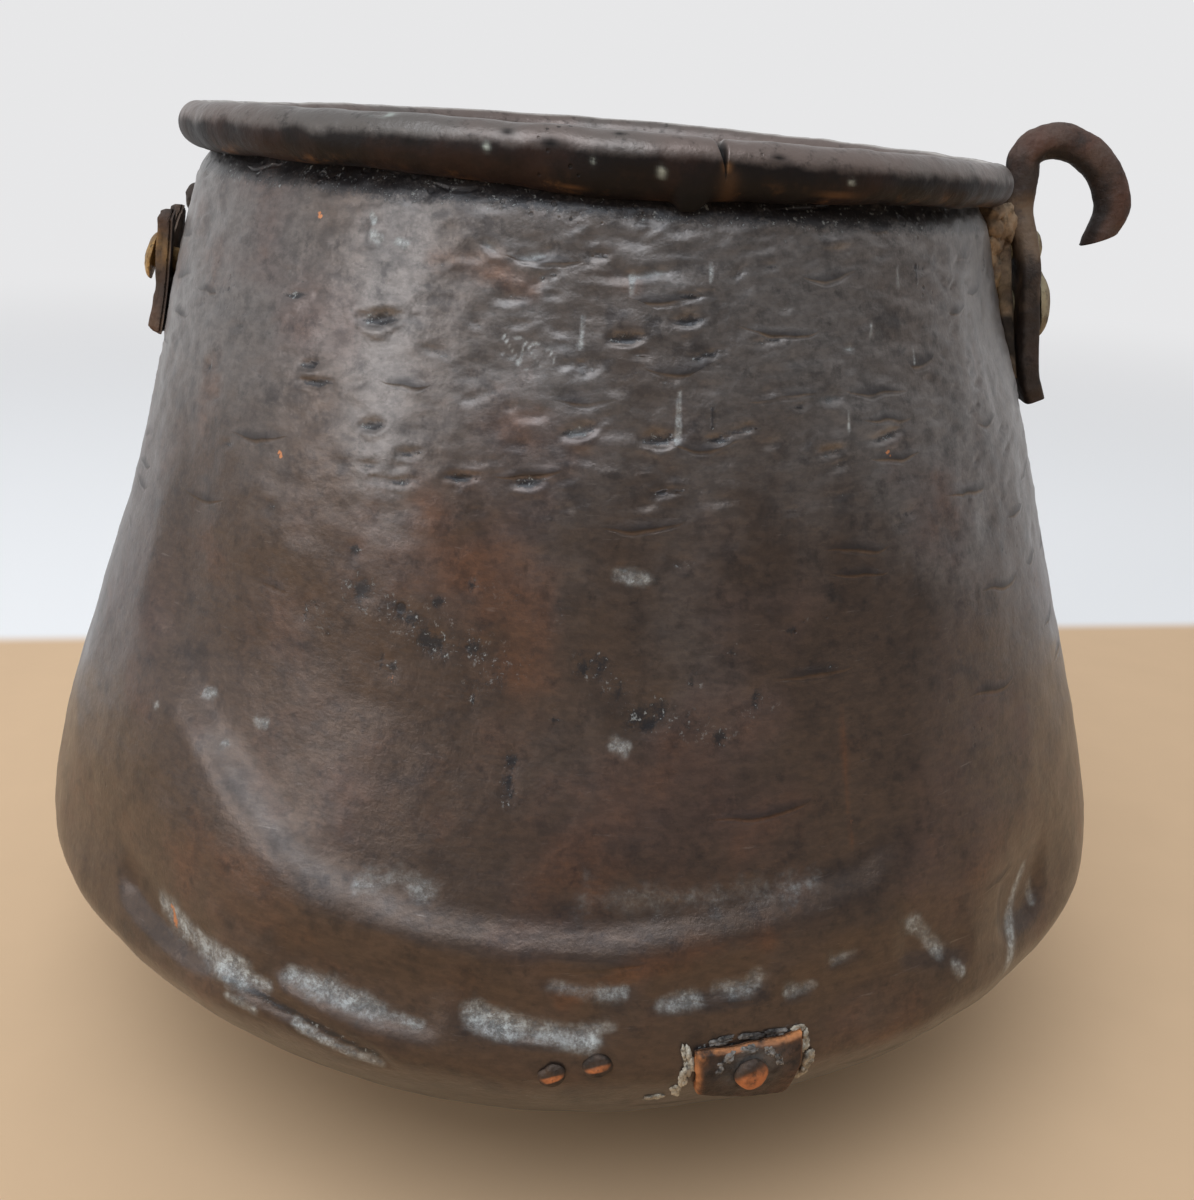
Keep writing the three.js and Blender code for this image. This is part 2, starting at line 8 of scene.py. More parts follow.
import itertools
import json
import logging
import math
from dataclasses import dataclass, field
from enum import Enum
from typing import Sequence

import bpy
import numpy as np
from mathutils import Matrix, Vector


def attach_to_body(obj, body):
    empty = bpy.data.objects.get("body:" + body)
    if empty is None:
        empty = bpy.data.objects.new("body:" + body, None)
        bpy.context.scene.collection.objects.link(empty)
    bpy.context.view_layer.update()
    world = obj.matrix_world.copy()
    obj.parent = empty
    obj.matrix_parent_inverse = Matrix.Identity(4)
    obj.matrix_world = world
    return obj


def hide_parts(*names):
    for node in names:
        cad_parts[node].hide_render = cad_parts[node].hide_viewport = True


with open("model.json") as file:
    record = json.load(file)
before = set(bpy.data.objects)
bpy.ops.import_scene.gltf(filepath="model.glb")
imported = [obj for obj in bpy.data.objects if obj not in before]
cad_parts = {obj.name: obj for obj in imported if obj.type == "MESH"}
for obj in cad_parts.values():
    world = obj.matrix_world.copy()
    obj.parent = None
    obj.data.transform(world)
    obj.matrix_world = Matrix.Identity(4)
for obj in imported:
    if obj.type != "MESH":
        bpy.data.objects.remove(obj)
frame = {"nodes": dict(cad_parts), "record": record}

LOG = logging.getLogger("copper_pot")
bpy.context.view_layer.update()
MM = 0.001
BODY = "root"

Array = np.ndarray
Line = tuple[tuple[float, float], ...]
Triple = tuple[float, float, float]
Socket, Node, Tree = bpy.types.NodeSocket, bpy.types.Node, bpy.types.NodeTree
Piece, Material, Items = bpy.types.Object, bpy.types.Material, bpy.types.bpy_prop_collection


class Slot(Enum):
    """Material slots of the record that the pieces take their finish from."""

    COPPER = "copper_sheet"
    BRIGHT = "bright_copper"
    BRASS = "brass_rivet"
    IRON = "iron"
    PACKING = "packing"


def smooth(t: Array) -> Array:
    """Soft step: 3t squared minus 2t cubed, held to 0 and 1 outside the unit range."""
    x = np.clip(t, 0.0, 1.0)
    return x * x * (3.0 - 2.0 * x)


def bell(value: Array, middle: float = 0.0, width: float = 1.0, power: int = 2) -> Array:
    """Bell curve: 1 at the middle and falling over the width, with a flat top at higher even powers."""
    return np.exp(-(((value - middle) / width) ** power))


def squared(turn: Array, power: float) -> tuple[Array, Array]:
    """Cosine and sine of a turn, their sizes raised to a power; below 1 it makes the circle square."""
    return tuple(np.sign(w) * np.abs(w) ** power for w in (np.cos(turn), np.sin(turn)))


def full_turn(count: int) -> Array:
    """Evenly spaced angles round a circle."""
    return np.arange(count) / count * 2 * math.pi


def turn_between(a: Array, b: Array) -> Array:
    """Shortest signed turn in degrees from azimuth b to azimuth a."""
    return (np.asarray(a) - b + 180.0) % 360.0 - 180.0


def bezier(points: Sequence[tuple[float, float]], t: Array) -> Array:
    """Points of a cubic curve at t, as the cubic Bernstein sum of its four control points."""
    p = np.asarray(points, float)
    t = np.asarray(t, float)[..., None]
    s = 1.0 - t
    return s**3 * p[0] + 3 * s * s * t * p[1] + 3 * s * t * t * p[2] + t**3 * p[3]


def spread(places: Array, density: Array, count: int, closed: bool) -> Array:
    """Places picked so that each step holds the same share of the density.

    Args:
        places: Rising places that the density is given at.
        density: How densely picks should lie at each place.
        count: Number of steps.
        closed: True where the last pick would fall on the first.

    Returns:
        count places, or count + 1 where the range is open.
    """
    steps = np.diff(places) * (density[1:] + density[:-1]) / 2
    total = np.concatenate([[0.0], np.cumsum(steps)])
    picks = np.arange(count if closed else count + 1) / count * total[-1]
    return np.interp(picks, total, places)


def lattice_noise(points: Array, cell: float, seed: int) -> Array:
    """Smooth noise from -1 to 1: hashed values on a cubic lattice, blended with the soft step.

    Args:
        points: Places in millimetres, the last axis holding x, y and z.
        cell: Lattice spacing in millimetres.
        seed: Picks the lattice values.

    Returns:
        One value for each point.
    """
    p = np.asarray(points, float) / cell
    base = np.floor(p).astype(np.int64)
    part = smooth(p - base)
    total = np.zeros(p.shape[:-1])
    for corner in itertools.product((0, 1), repeat=3):
        x, y, z = np.moveaxis(base + corner, -1, 0)
        h = (x * 73856093) ^ (y * 19349663) ^ (z * 83492791) ^ (seed * 2654435761)
        h = (h ^ (h >> 13)) * 1274126177 & 0x7FFFFFFF
        h = (h ^ (h >> 16)) & 0xFFFF
        total += (h / 32767.5 - 1.0) * np.where(corner, part, 1.0 - part).prod(-1)
    return total


def fractal_noise(points: Array, cell: float, octaves: int, seed: int) -> Array:
    """Sum of lattice noises, each at half the cell and half the strength of the last."""
    total = np.zeros(np.shape(points)[:-1])
    for i in range(octaves):
        total += 0.5**i * lattice_noise(points, cell / 2**i, seed + 17 * i)
    return total


@dataclass(frozen=True)
class Dent:
    """A broad dent in the wall: its middle and half sizes in degrees and mm, and its depth in mm."""

    azimuth: float
    height: float
    wide: float
    tall: float
    depth: float


@dataclass(frozen=True)
class Press:
    """A place pressed in above a line: it sinks over a short foot and comes back over a longer reach.

    The line is given by (azimuth, height) points in rising azimuth, and fades out at both ends.
    """

    line: Line
    depth: float
    foot: float
    reach: float
    fade: float = 5.0

    def sink(self, azimuth: Array, height: Array) -> Array:
        """Depth at each place: foot step times the way back up, times the fade at the line's ends."""
        ends, levels = zip(*self.line)
        above = height - np.interp(azimuth, ends, levels)
        inside = smooth((azimuth - ends[0]) / self.fade) * smooth((ends[-1] - azimuth) / self.fade)
        back = smooth(1 - (above - self.foot) / self.reach)
        return self.depth * inside * smooth(above / self.foot) * back


@dataclass(frozen=True)
class Mark:
    """One peen mark: an almond that is deepest along its lower edge.

    Length and tall are half sizes in mm. Fill is how much pale grime it holds.
    """

    azimuth: float
    height: float
    length: float = 4.5
    tall: float = 1.3
    tilt: float = 8.0
    depth: float = 0.5
    fill: float = 0.0


@dataclass(frozen=True)
class Stroke:
    """A soft line on the wall through (azimuth, height) points, with a half width in mm."""

    points: Line
    width: float
    strength: float

    def mask(self, azimuth: Array, height: Array) -> Array:
        """Bell curve of the distance to the broken line, measured on the wall in mm."""
        reach = FORM.per_degree(height)
        nearest = np.full(np.broadcast(azimuth, height).shape, np.inf)
        for (a0, h0), (a1, h1) in zip(self.points, self.points[1:]):
            ax, ay = turn_between(a1, a0) * reach, h1 - h0
            px, py = turn_between(azimuth, a0) * reach, height - h0
            t = np.clip((px * ax + py * ay) / (ax * ax + ay * ay + 1e-9), 0, 1)
            nearest = np.minimum(nearest, np.hypot(px - t * ax, py - t * ay))
        return self.strength * bell(nearest, width=self.width)


def strokes(*rows: tuple) -> tuple[Stroke, ...]:
    """Strokes from rows that hold the points, then the half width and the strength."""
    return tuple(Stroke(row[:-2], *row[-2:]) for row in rows)


@dataclass(frozen=True)
class PotForm:
    """The worn form that everything on the pot takes its place from."""

    sheet: float = 1.4
    base_radius: float = 27.0
    belly_radius: float = 120.0
    belly_height: float = 54.0
    bowl_flat: float = 55.0
    bowl_rise: float = 9.0
    wall_rise: float = 14.0
    neck_radius: float = 82.0
    neck_height: float = 183.0
    wall_lean: float = 0.29
    lean_run: float = 52.0
    wire_radius: float = 2.1
    roll_play: float = 0.35
    roll_rise: float = 0.25
    rim_radius: float = 84.5
    roll_height: float = 193.0
    roll_end: float = -100.0
    slope_x: float = -0.03
    slope_y: float = 0.02
    spring: float = 0.9
    slope_start: float = 60.0
    dents: tuple[Dent, ...] = (
        Dent(-102, 112, 44, 38, 4.2),
        Dent(-134, 66, 20, 17, 1.8),
        Dent(-104, 66, 24, 10, 1.6),
        Dent(-42, 63, 13, 20, 2.6),
        Dent(-64, 62, 12, 12, 1.4),
        Dent(60, 78, 30, 26, 3.0),
        Dent(140, 92, 34, 30, 2.6),
        Dent(-165, 126, 45, 48, 2.0),
        Dent(-27, 171, 22, 26, 2.2),
    )

    @property
    def roll_inner(self) -> tuple[float, float]:
        """Half width and half height of the space inside the roll."""
        half = self.wire_radius + self.roll_play
        return half, half + self.roll_rise

    @property
    def roll_outer(self) -> tuple[float, float]:
        """Half width and half height of the roll."""
        wide, tall = self.roll_inner
        return wide + self.sheet, tall + self.sheet

    @property
    def roll_radius(self) -> float:
        """Radius of the roll's middle line."""
        return self.rim_radius - self.roll_outer[0]

    @property
    def throat(self) -> tuple[float, float]:
        """Radius and height where the wall goes over into the roll."""
        return self.roll_radius - self.roll_inner[0], self.roll_height - 0.5 * self.roll_inner[1]

    def curves(self) -> list[list[tuple[float, float]]]:
        """Control points of the bowl, the wall and the shoulder, as radius and height."""
        belly = (self.belly_radius, self.belly_height)
        neck = (self.neck_radius, self.neck_height)
        throat = self.throat
        run = (throat[1] - neck[1]) / 2
        lean = self.wall_lean
        return [
            [(self.base_radius, 0), (self.base_radius + self.bowl_flat, 0),
             (belly[0], belly[1] - self.bowl_rise), belly],
            [belly, (belly[0], belly[1] + self.wall_rise),
             (neck[0] + lean * self.lean_run, neck[1] - self.lean_run), neck],
            [neck, (neck[0] - lean * run, neck[1] + run), (throat[0], throat[1] - run), throat],
        ]

    def outline_radius(self, height: Array) -> Array:
        """Radius of the outer outline at a height, read off the three curves."""
        t = np.linspace(0, 1, 400)
        line = np.concatenate([bezier(c, t) for c in self.curves()])
        return np.interp(height, line[:, 1], line[:, 0])

    def per_degree(self, height: Array) -> Array:
        """Length in mm of one degree along the outline at a height."""
        return math.radians(1.0) * self.outline_radius(height)

    def dent_depth(self, azimuth: Array, height: Array) -> Array:
        """How far the broad dents push the wall towards the axis."""
        depth = np.zeros(np.broadcast(azimuth, height).shape)
        for dent in self.dents:
            u = turn_between(azimuth, dent.azimuth) / dent.wide
            v = (height - dent.height) / dent.tall
            depth += dent.depth * smooth(1 - np.hypot(u, v))
        return depth

    def worn(self, radius: Array, azimuth: Array, height: Array) -> Array:
        """Carries points of the round form to the worn pot: dents, then the mouth's slope and spring."""
        angle = np.radians(azimuth)
        r = radius - self.dent_depth(azimuth, height)
        x, y = r * np.cos(angle), r * np.sin(angle)
        share = smooth((height - self.slope_start) / (self.neck_height - self.slope_start))
        lift = self.slope_x * x + self.slope_y * y - self.spring * np.cos(2 * angle)
        return np.stack([x, y, height + share * lift], -1)

    def wall_point(self, azimuth: Array, height: Array) -> Array:
        """Point of the worn outer wall."""
        return self.worn(self.outline_radius(height), azimuth, height)

    def wall_frame(self, azimuth: Array, height: Array) -> tuple[Array, Array, Array, Array]:
        """Points of the wall with their unit directions around, up and out."""
        step = 0.2
        around = self.wall_point(azimuth + step, height) - self.wall_point(azimuth - step, height)
        around /= np.linalg.norm(around, axis=-1, keepdims=True)
        up = self.wall_point(azimuth, height + step) - self.wall_point(azimuth, height - step)
        out = np.cross(around, up)
        out /= np.linalg.norm(out, axis=-1, keepdims=True)
        return self.wall_point(azimuth, height), around, np.cross(out, around), out


FORM = PotForm()


class Skin:
    """A closed mesh stitched from rings of points, each ring with its own count."""

    def __init__(self) -> None:
        """Starts with no rings."""
        self.points: list[Array] = []
        self.faces: list[Array] = []
        self.masks: dict[str, list[Array]] = {}
        self.last: Array | None = None
        self.count = 0

    def ring(self, points: Array, **masks: Array) -> None:
        """Adds a ring, joined to the last by quads, or by triangles where the count doubles or halves.

        Args:
            points: The ring's points in mm, in order.
            masks: Values for the ring's points; one that isn't given is 0.
        """
        points = np.asarray(points, float).reshape(-1, 3)
        ids = np.arange(self.count, self.count + len(points))
        for key in set(masks) | set(self.masks):
            held = self.masks.setdefault(key, [np.zeros(self.count)])
            held.append(np.broadcast_to(np.asarray(masks.get(key, 0.0), float), (len(points),)))
        self.points.append(points)
        self.count += len(points)
        if self.last is not None:
            self._join(self.last, ids)
        self.last = ids

    def _join(self, a: Array, b: Array) -> None:
        """Stitches two rings whose counts are equal, or in the ratio 2, or where one is a single point."""
        if len(a) == len(b) or 1 in (len(a), len(b)):
            corners = np.broadcast_arrays(a, np.roll(a, -1), np.roll(b, -1), b)
            self.faces.append(np.stack(corners[len(a) == 1 : 4 - (len(b) == 1)], 1))
            return
        more, fewer, way = (a, b, 1) if len(a) > len(b) else (b, a, -1)
        if len(more) != 2 * len(fewer):
            raise ValueError(f"rings of {len(a)} and {len(b)} points can't be joined")
        even, odd, after, nearer = more[::2], more[1::2], np.roll(more[::2], -1), np.roll(fewer, -1)
        for corners in ((even, odd, fewer), (odd, nearer, fewer), (odd, after, nearer)):
            self.faces.append(np.stack(corners[::way], 1))

    def cap(self) -> None:
        """Closes the last ring with a fan to its middle."""
        self.ring(self.points[-1].mean(0), **{key: held[-1].mean() for key, held in self.masks.items()})

    def build(self, name: str) -> Piece:
        """Makes the object, in metres, smooth shaded and facing outward."""
        points = np.concatenate(self.points) * MM
        faces = [face for block in self.faces for face in block.tolist()]
        masks = {key: np.concatenate(held) for key, held in self.masks.items()}
        return make_object(name, points, faces, masks)


def link_object(name: str, data: bpy.types.ID) -> Piece:
    """Makes an object for its data and links it to the scene."""
    piece = bpy.data.objects.new(name, data)
    bpy.context.scene.collection.objects.link(piece)
    return piece


def read_all(items: Items, key: str, kind: type, width: int = 1) -> Array:
    """Values of one property of all the items of a mesh."""
    values = np.empty(len(items) * width, kind)
    items.foreach_get(key, values)
    return values


def mesh_points(mesh: bpy.types.Mesh) -> Array:
    """Places of all the points of a mesh."""
    return read_all(mesh.vertices, "co", np.float32, 3).reshape(-1, 3).astype(float)


def make_object(name: str, points: Array, faces: list[list[int]], masks: dict[str, Array]) -> Piece:
    """Links a mesh object with outward faces and point attributes.

    Args:
        name: The object's name.
        points: Places in metres.
        faces: Point numbers of each face, all turned the same way.
        masks: Values from 0 to 1 for each point, stored as attributes for the materials.

    Returns:
        The linked object.
    """
    mesh = bpy.data.meshes.new(name)
    mesh.from_pydata(points, [], faces)
    corners = np.array([face[:3] for face in faces])
    middle = points.mean(0)
    p, q, r = (points[corners[:, i]] - middle for i in range(3))
    if np.einsum("ij,ij->i", p, np.cross(q, r)).sum() < 0:
        mesh.flip_normals()
    for key, values in masks.items():
        attribute = mesh.attributes.new(key, "FLOAT", "POINT")
        attribute.data.foreach_set("value", np.asarray(values, np.float32))
    mesh.shade_smooth()
    mesh.update()
    return link_object(name, mesh)


def wrap_map(piece: Piece, name: str, scale: float) -> None:
    """Lays a map round the pot: azimuth times a mean radius across, and nearly the true length up.

    Args:
        piece: The object, whose points lie round the pot's axis.
        name: The map's name.
        scale: Mean radius in metres.
    """
    mesh = piece.data
    points = mesh_points(mesh)
    turn = np.arctan2(points[:, 1], points[:, 0])
    radius = np.hypot(points[:, 0], points[:, 1])
    ids = read_all(mesh.loops, "vertex_index", np.int32)
    starts = read_all(mesh.polygons, "loop_start", np.int32)
    first = np.repeat(turn[ids[starts]], read_all(mesh.polygons, "loop_total", np.int32))
    around = first + (turn[ids] - first + math.pi) % (2 * math.pi) - math.pi
    rise_share, radius_share, mean_radius = 1.04, 0.25, 0.12
    up = points[ids, 2] * rise_share - radius_share * (radius[ids] - mean_radius)
    layer = mesh.uv_layers.new(name=name)
    layer.data.foreach_set("uv", np.stack([around * scale, up], 1).astype(np.float32).ravel())


DISH = Press(
    ((-143, 108), (-137, 103), (-131, 97.5), (-126, 91.5), (-121.5, 86), (-116.5, 80.8), (-112, 77),
     (-107, 74.8), (-101.5, 72.8), (-97, 72), (-87.5, 72), (-79.5, 73.8), (-71, 76), (-64, 77.6),
     (-56, 84)),
    depth=2.4, foot=7.5, reach=42.0, fade=9.0)
GOUGES = tuple(Press(row[:-4], *row[-4:]) for row in (
    ((-136, 60), (-131, 57.5), (-124, 56), (-119, 57), 1.5, 3.4, 9.0, 3.0),
    ((-120.5, 58), (-117, 57.5), (-113.5, 57.5), 1.0, 2.4, 6.0, 1.6),
    ((-115, 60.5), (-109, 58.5), (-104, 57), (-99, 56), 1.3, 3.0, 9.0, 2.6),
    ((-119, 56.6), (-112.3, 54.4), (-108.7, 52.6), (-103, 49), 1.0, 1.8, 4.0, 2.0),
    ((-99, 60), (-93, 58), (-86, 58.5), 1.1, 2.8, 8.0, 2.6),
    ((-92.5, 67.5), (-88, 66.5), (-84, 67), 0.6, 1.8, 5.0, 1.4),
    ((-84, 64), (-78, 64.5), (-73, 65), 1.0, 2.6, 7.0, 2.0), ((-73, 63.5), (-69, 63.5), 0.6, 2.0, 5.0, 1.2),
    ((-69, 67), (-64, 68), 0.5, 2.0, 5.0, 1.4), ((-62, 64), (-56, 61), (-52, 58), 1.0, 4.0, 12.0, 2.4),
    ((-48, 56), (-41, 55), (-37, 58), 1.3, 6.0, 13.0, 2.4),
))

MARKS = tuple(Mark(*row) for row in (
    (-113, 167, 4.9, 1.8, 8, 0.9), (-112, 164.7, 2.5, 0.4, 8, 0.4), (-121, 158.2, 2.6, 1.1, 8, 0.6),
    (-119.5, 155.8, 4.5, 1.0, 6, 0.7), (-112, 151, 3.1, 1.4, 8, 0.7), (-112, 144.5, 2.3, 0.8, 4, 0.5),
    (-107.5, 147.5, 2.8, 0.9, 8, 0.5), (-108, 143, 3.2, 0.8, 6, 0.5), (-102, 145, 3.8, 1.0, 6, 0.8),
    (-95.5, 145.5, 3.6, 1.6, 10, 0.7, 0.45), (-91, 153.5, 4.0, 1.6, 15, 0.7, 0.5),
    (-88.6, 155.2, 1.8, 0.7, 10, 0.4), (-124.5, 168.5, 3.4, 1.0, 8, 0.6), (-124.5, 165, 1.1, 0.5, 0, 0.3),
    (-138, 154, 1.5, 1.4, 0, 0.5), (-128, 155, 1.4, 0.9, 0, 0.4), (-101, 179, 2.8, 1.1, -30, 0.5, 0.6),
    (-96.5, 178.5, 3.8, 1.5, 15, 0.6, 0.9), (-94.5, 175.6, 3.4, 0.4, 20, 0.5),
    (-98.5, 172, 4.5, 1.1, 8, 0.35), (-102, 167.5, 1.7, 0.7, 8, 0.4), (-97.6, 168, 2.8, 0.7, 8, 0.4),
    (-91, 163, 0.9, 0.9, 0, 0.5, 0.5), (-89.5, 179, 2.8, 0.8, 10, 0.5), (-106.5, 176, 3.0, 0.8, 8, 0.3),
    (-101.5, 157, 2.3, 0.7, 8, 0.4), (-84, 177, 4.5, 0.9, 8, 0.5, 0.75), (-80, 174, 3.4, 0.9, 8, 0.6),
    (-80, 170.5, 3.4, 1.2, 8, 0.7), (-86.5, 167.5, 4.0, 1.4, 6, 0.8), (-85, 164.8, 2.5, 0.4, 6, 0.4),
    (-78, 165.5, 5.1, 0.6, 15, 0.5), (-74.5, 177.5, 2.2, 0.5, 35, 0.5), (-70.5, 179, 2.0, 0.6, 8, 0.4),
    (-71, 168, 4.0, 0.7, 10, 0.5), (-68, 158, 2.8, 0.7, 12, 0.4), (-74.5, 154.5, 4.0, 0.9, 8, 0.5),
    (-82, 145, 4.0, 0.8, 6, 0.5), (-57, 153, 5.7, 1.2, 12, 0.6, 0.35), (-64.5, 151, 4.0, 1.1, 8, 0.5, 0.35),
    (-61, 167, 1.7, 0.9, 10, 0.4, 1.0), (-64, 159.5, 3.2, 1.5, 8, 0.6, 0.4), (-83, 153, 4.0, 1.8, 6, 0.9),
    (-77, 153, 2.8, 1.1, 6, 0.6), (-69.5, 142, 1.7, 0.6, 8, 0.4), (-62, 183.5, 4.6, 1.6, 0, -0.5),
    (-42, 178, 3.0, 2.0, 0, -0.5), (-37, 159, 3.0, 1.2, 15, 0.5, 0.5), (-39, 155.6, 2.4, 0.9, 15, 0.4, 0.4),
    (-123, 135, 2.2, 0.9, 10, 0.4), (-131, 143, 2.6, 1.0, 10, 0.4), (-117, 129, 2.0, 0.8, 8, 0.35),
    (-96, 131, 2.4, 0.8, 8, 0.35), (-86, 133, 2.6, 0.9, 8, 0.4), (-74, 134, 2.2, 0.8, 8, 0.35),
    (-66, 129, 2.4, 0.8, 8, 0.35), (-55, 140, 2.8, 1.0, 10, 0.4),
))
PITS = (
    (-111.5, 124.5, 1.4), (-107.5, 122.5, 1.2), (-106.2, 121.2, 1.0), (-104.5, 118.5, 1.6),
    (-103.2, 117.6, 1.3), (-100, 118, 1.0), (-98.8, 117.2, 0.7), (-109, 114, 1.0), (-107.6, 113.2, 0.7),
    (-103.5, 125, 0.9), (-95.6, 101.4, 0.9), (-95.9, 98.8, 0.9), (-95.6, 96.2, 0.8), (-86, 114, 1.1),
    (-84.5, 109.5, 1.6), (-82.5, 111, 1.3), (-83.4, 108.4, 1.0), (-77, 106.5, 1.0), (-76, 120.5, 0.9),
    (-73.5, 112.5, 1.2), (-88, 117.5, 1.2), (-89.5, 116.5, 0.8), (-112.6, 131, 0.8), (-100.4, 128.6, 0.9),
    (-92, 108, 0.8), (-70, 123, 0.8), (-66, 117, 0.7), (-117.5, 119, 0.9), (-99.6, 110.4, 0.7),
    (-79.4, 115.6, 0.9),
)
# Pale strokes: whitish crust, cream deposits and fine scratches, and painted glints: the soft bluish-white
# patches on the upward-facing dents along the belly's edge and the dish, and the short vertical white
# flecks on the neck.
CHALK_AND_GLINT_STROKES = strokes(
    ((-128.5, 64), (-123, 61.6), (-117.6, 60), 2.7, 0.95), ((-116.4, 59.6), (-115, 59.4), 1.5, 0.8),
    ((-113, 62.4), (-108, 61.3), (-104.6, 60.4), 2.0, 0.8), ((-104, 60.2), (-101.5, 59.4), 1.3, 0.6),
    ((-118.6, 55.6), (-116, 54.6), 1.1, 0.8), ((-112, 55), (-108.7, 53), (-104.6, 50.4), 1.0, 1.0),
    ((-97.2, 62.3), (-92.5, 60.8), (-88, 60), 2.3, 0.85), ((-91, 68.6), (-88, 67.8), (-85.4, 68), 1.6, 0.6),
    ((-87.4, 61.8), (-86.2, 62.4), 1.2, 0.6), ((-82.4, 65.6), (-80, 66.2), 1.9, 0.7),
    ((-77.8, 68), (-75.6, 67.4), (-74.6, 69), 2.0, 0.7), ((-71.8, 65.5), (-69.8, 65.7), 1.6, 0.6),
    ((-67.6, 69), (-65.6, 69.4), 1.2, 0.5), ((-59.6, 72), (-58, 68.5), (-56.4, 64.4), 1.7, 0.75),
    ((-54.8, 61), (-54, 59.6), 1.3, 0.8), ((-41.5, 68), (-43, 63), (-44.5, 59), (-46, 53.5), 1.9, 0.95),
    ((-39.6, 64), (-39.4, 60), 1.4, 0.6), ((-107.6, 80.4), (-104.6, 82.2), (-101.4, 81), 2.4, 0.5),
    ((-88, 82), (-78, 82), (-69, 82.5), 3.0, 0.42), ((-115.8, 182), (-115.2, 180.8), 0.6, 1.0),
    ((-115.2, 179), (-114.2, 178.4), 0.7, 0.9), ((-111.8, 178.3), (-110.8, 178), 0.6, 0.9),
    ((-86, 176.6), (-86.1, 173.6), 0.4, 0.9), ((-77.5, 178.6), (-77.6, 176.4), 0.4, 0.9),
    ((-52.5, 179.6), (-52.6, 176), 0.35, 0.8), ((-81, 159.6), (-81.2, 152.4), 0.5, 0.9),
    ((-62, 157), (-62.2, 154), 0.35, 0.8), ((-51, 167), (-51.2, 164), 0.35, 0.8),
    ((-57.5, 170.6), (-57.7, 168.6), 0.35, 0.8),
    ((-99, 166), (-97.2, 162.4), (-96.8, 165.6), (-95, 162), 0.26, 0.9),
    ((-99.2, 163.6), (-96.2, 161.4), 0.24, 0.8),
    ((-98.4, 166.4), (-94.2, 164.8), (-93.6, 162.8), 0.22, 0.8), ((-91, 170), (-91.1, 165.6), 0.5, 0.8),
    ((-134.6, 97.6), (-133.2, 96.6), 0.4, 0.9), ((-128.6, 101.8), (-126.8, 101), 0.5, 0.9),
    ((-123.2, 100.6), (-120.2, 100), 0.45, 0.9), ((-124.8, 95.4), (-123.6, 94.6), 0.4, 0.8),
    ((-131.4, 99.4), (-130.6, 98.8), 0.35, 0.7), ((-86.6, 131.8), (-84.2, 131.2), 1.3, 0.75),
    ((-86.6, 105.2), (-85.6, 104.6), 1.2, 1.0), ((-86.6, 106), (-85, 105.4), 0.3, 0.6),
)
BARE_STROKES = strokes(
    ((-64.9, 98.5), (-64.6, 88), 0.4, 0.26), ((-127, 64.5), (-126.5, 61.5), 0.7, 0.9),
    ((-123.2, 181.2), (-122.8, 180.8), 0.5, 0.9), ((-122.6, 143.7), (-122.4, 143.3), 0.5, 0.9),
    ((-57.2, 150.2), (-56.8, 149.8), 0.4, 0.9), ((-108.5, 112.5), (-107.5, 111.5), 0.6, 0.5),
)
WARM_STROKES = strokes(
    ((-65.1, 111), (-64.9, 98.5), (-64.6, 87), 0.9, 1.0),
    ((-107, 177), (-101, 176), (-96.5, 173), 3.2, 0.8), ((-89, 176), (-86, 175), 2.6, 0.6),
    ((-104, 138), (-99, 128), (-96, 118), 6.5, 0.7), ((-92, 84), (-78, 84), 5.5, 0.5),
    ((-124, 82), (-112, 72), (-98, 68), 6.0, 0.45), ((-90, 66), (-84, 72), (-79, 75), (-74, 75), 2.4, 0.7),
    ((-66, 108), (-63, 90), 6.0, 0.35), ((-136, 150), (-131, 120), 6.0, 0.35),
)
# Grey strokes raise the tone. The first three are painted highlights: the band along the dish's
# upward-facing foot, a streak on the right, and the vertical band at azimuth -112. The others lift the tone
# in broad patches.
GREY_AND_HIGHLIGHT_STROKES = strokes(
    ((-126, 95), (-121.5, 90), (-116.5, 84.5), (-112, 80.5), (-105, 77.8), 3.2, 0.6),
    ((-50, 104), (-48.5, 96), 2.6, 0.6), ((-112.5, 182), (-112, 168), (-111, 150), (-108, 136), 6.5, 0.7),
    ((-95.5, 172), (-92, 158), 8.0, 0.35), ((-66, 168), (-56, 152), (-46, 130), 12.0, 0.5),
    ((-83, 122), (-76, 114), 7.0, 0.4),
)
# Dark strokes: sooty zones round the pits and dark streaks, and painted shade: the black line in the fold
# along the lower left of the belly's edge, and the band under the belly's edge.
SOOT_AND_SHADE_STROKES = strokes(
    ((-119, 58.4), (-112.3, 56.4), (-108.7, 54.8), (-104.9, 52.2), 0.8, 1.0),
    ((-89, 117), (-84, 111), (-79, 108), 5.0, 0.45), ((-112.5, 125), (-106, 121), (-98, 117), 6.0, 0.45),
    ((-95.8, 102), (-95.7, 95.6), 1.6, 0.55), ((-100, 112), (-95, 116), 4.0, 0.4),
    ((-117, 121), (-115, 117), 3.0, 0.4), ((-77, 107), (-72, 112), 3.5, 0.38),
    ((-100, 128), (-92, 124), 4.5, 0.34), ((-49, 179.6), (-49.2, 176.6), 0.6, 0.8),
    ((-77.5, 157.4), (-77.6, 154.6), 0.5, 0.8), ((-80.4, 52), (-79.4, 58), (-71, 59), 1.2, 0.7),
    ((-100, 47), (-84, 46), (-70, 44), 5.0, 0.4),
)


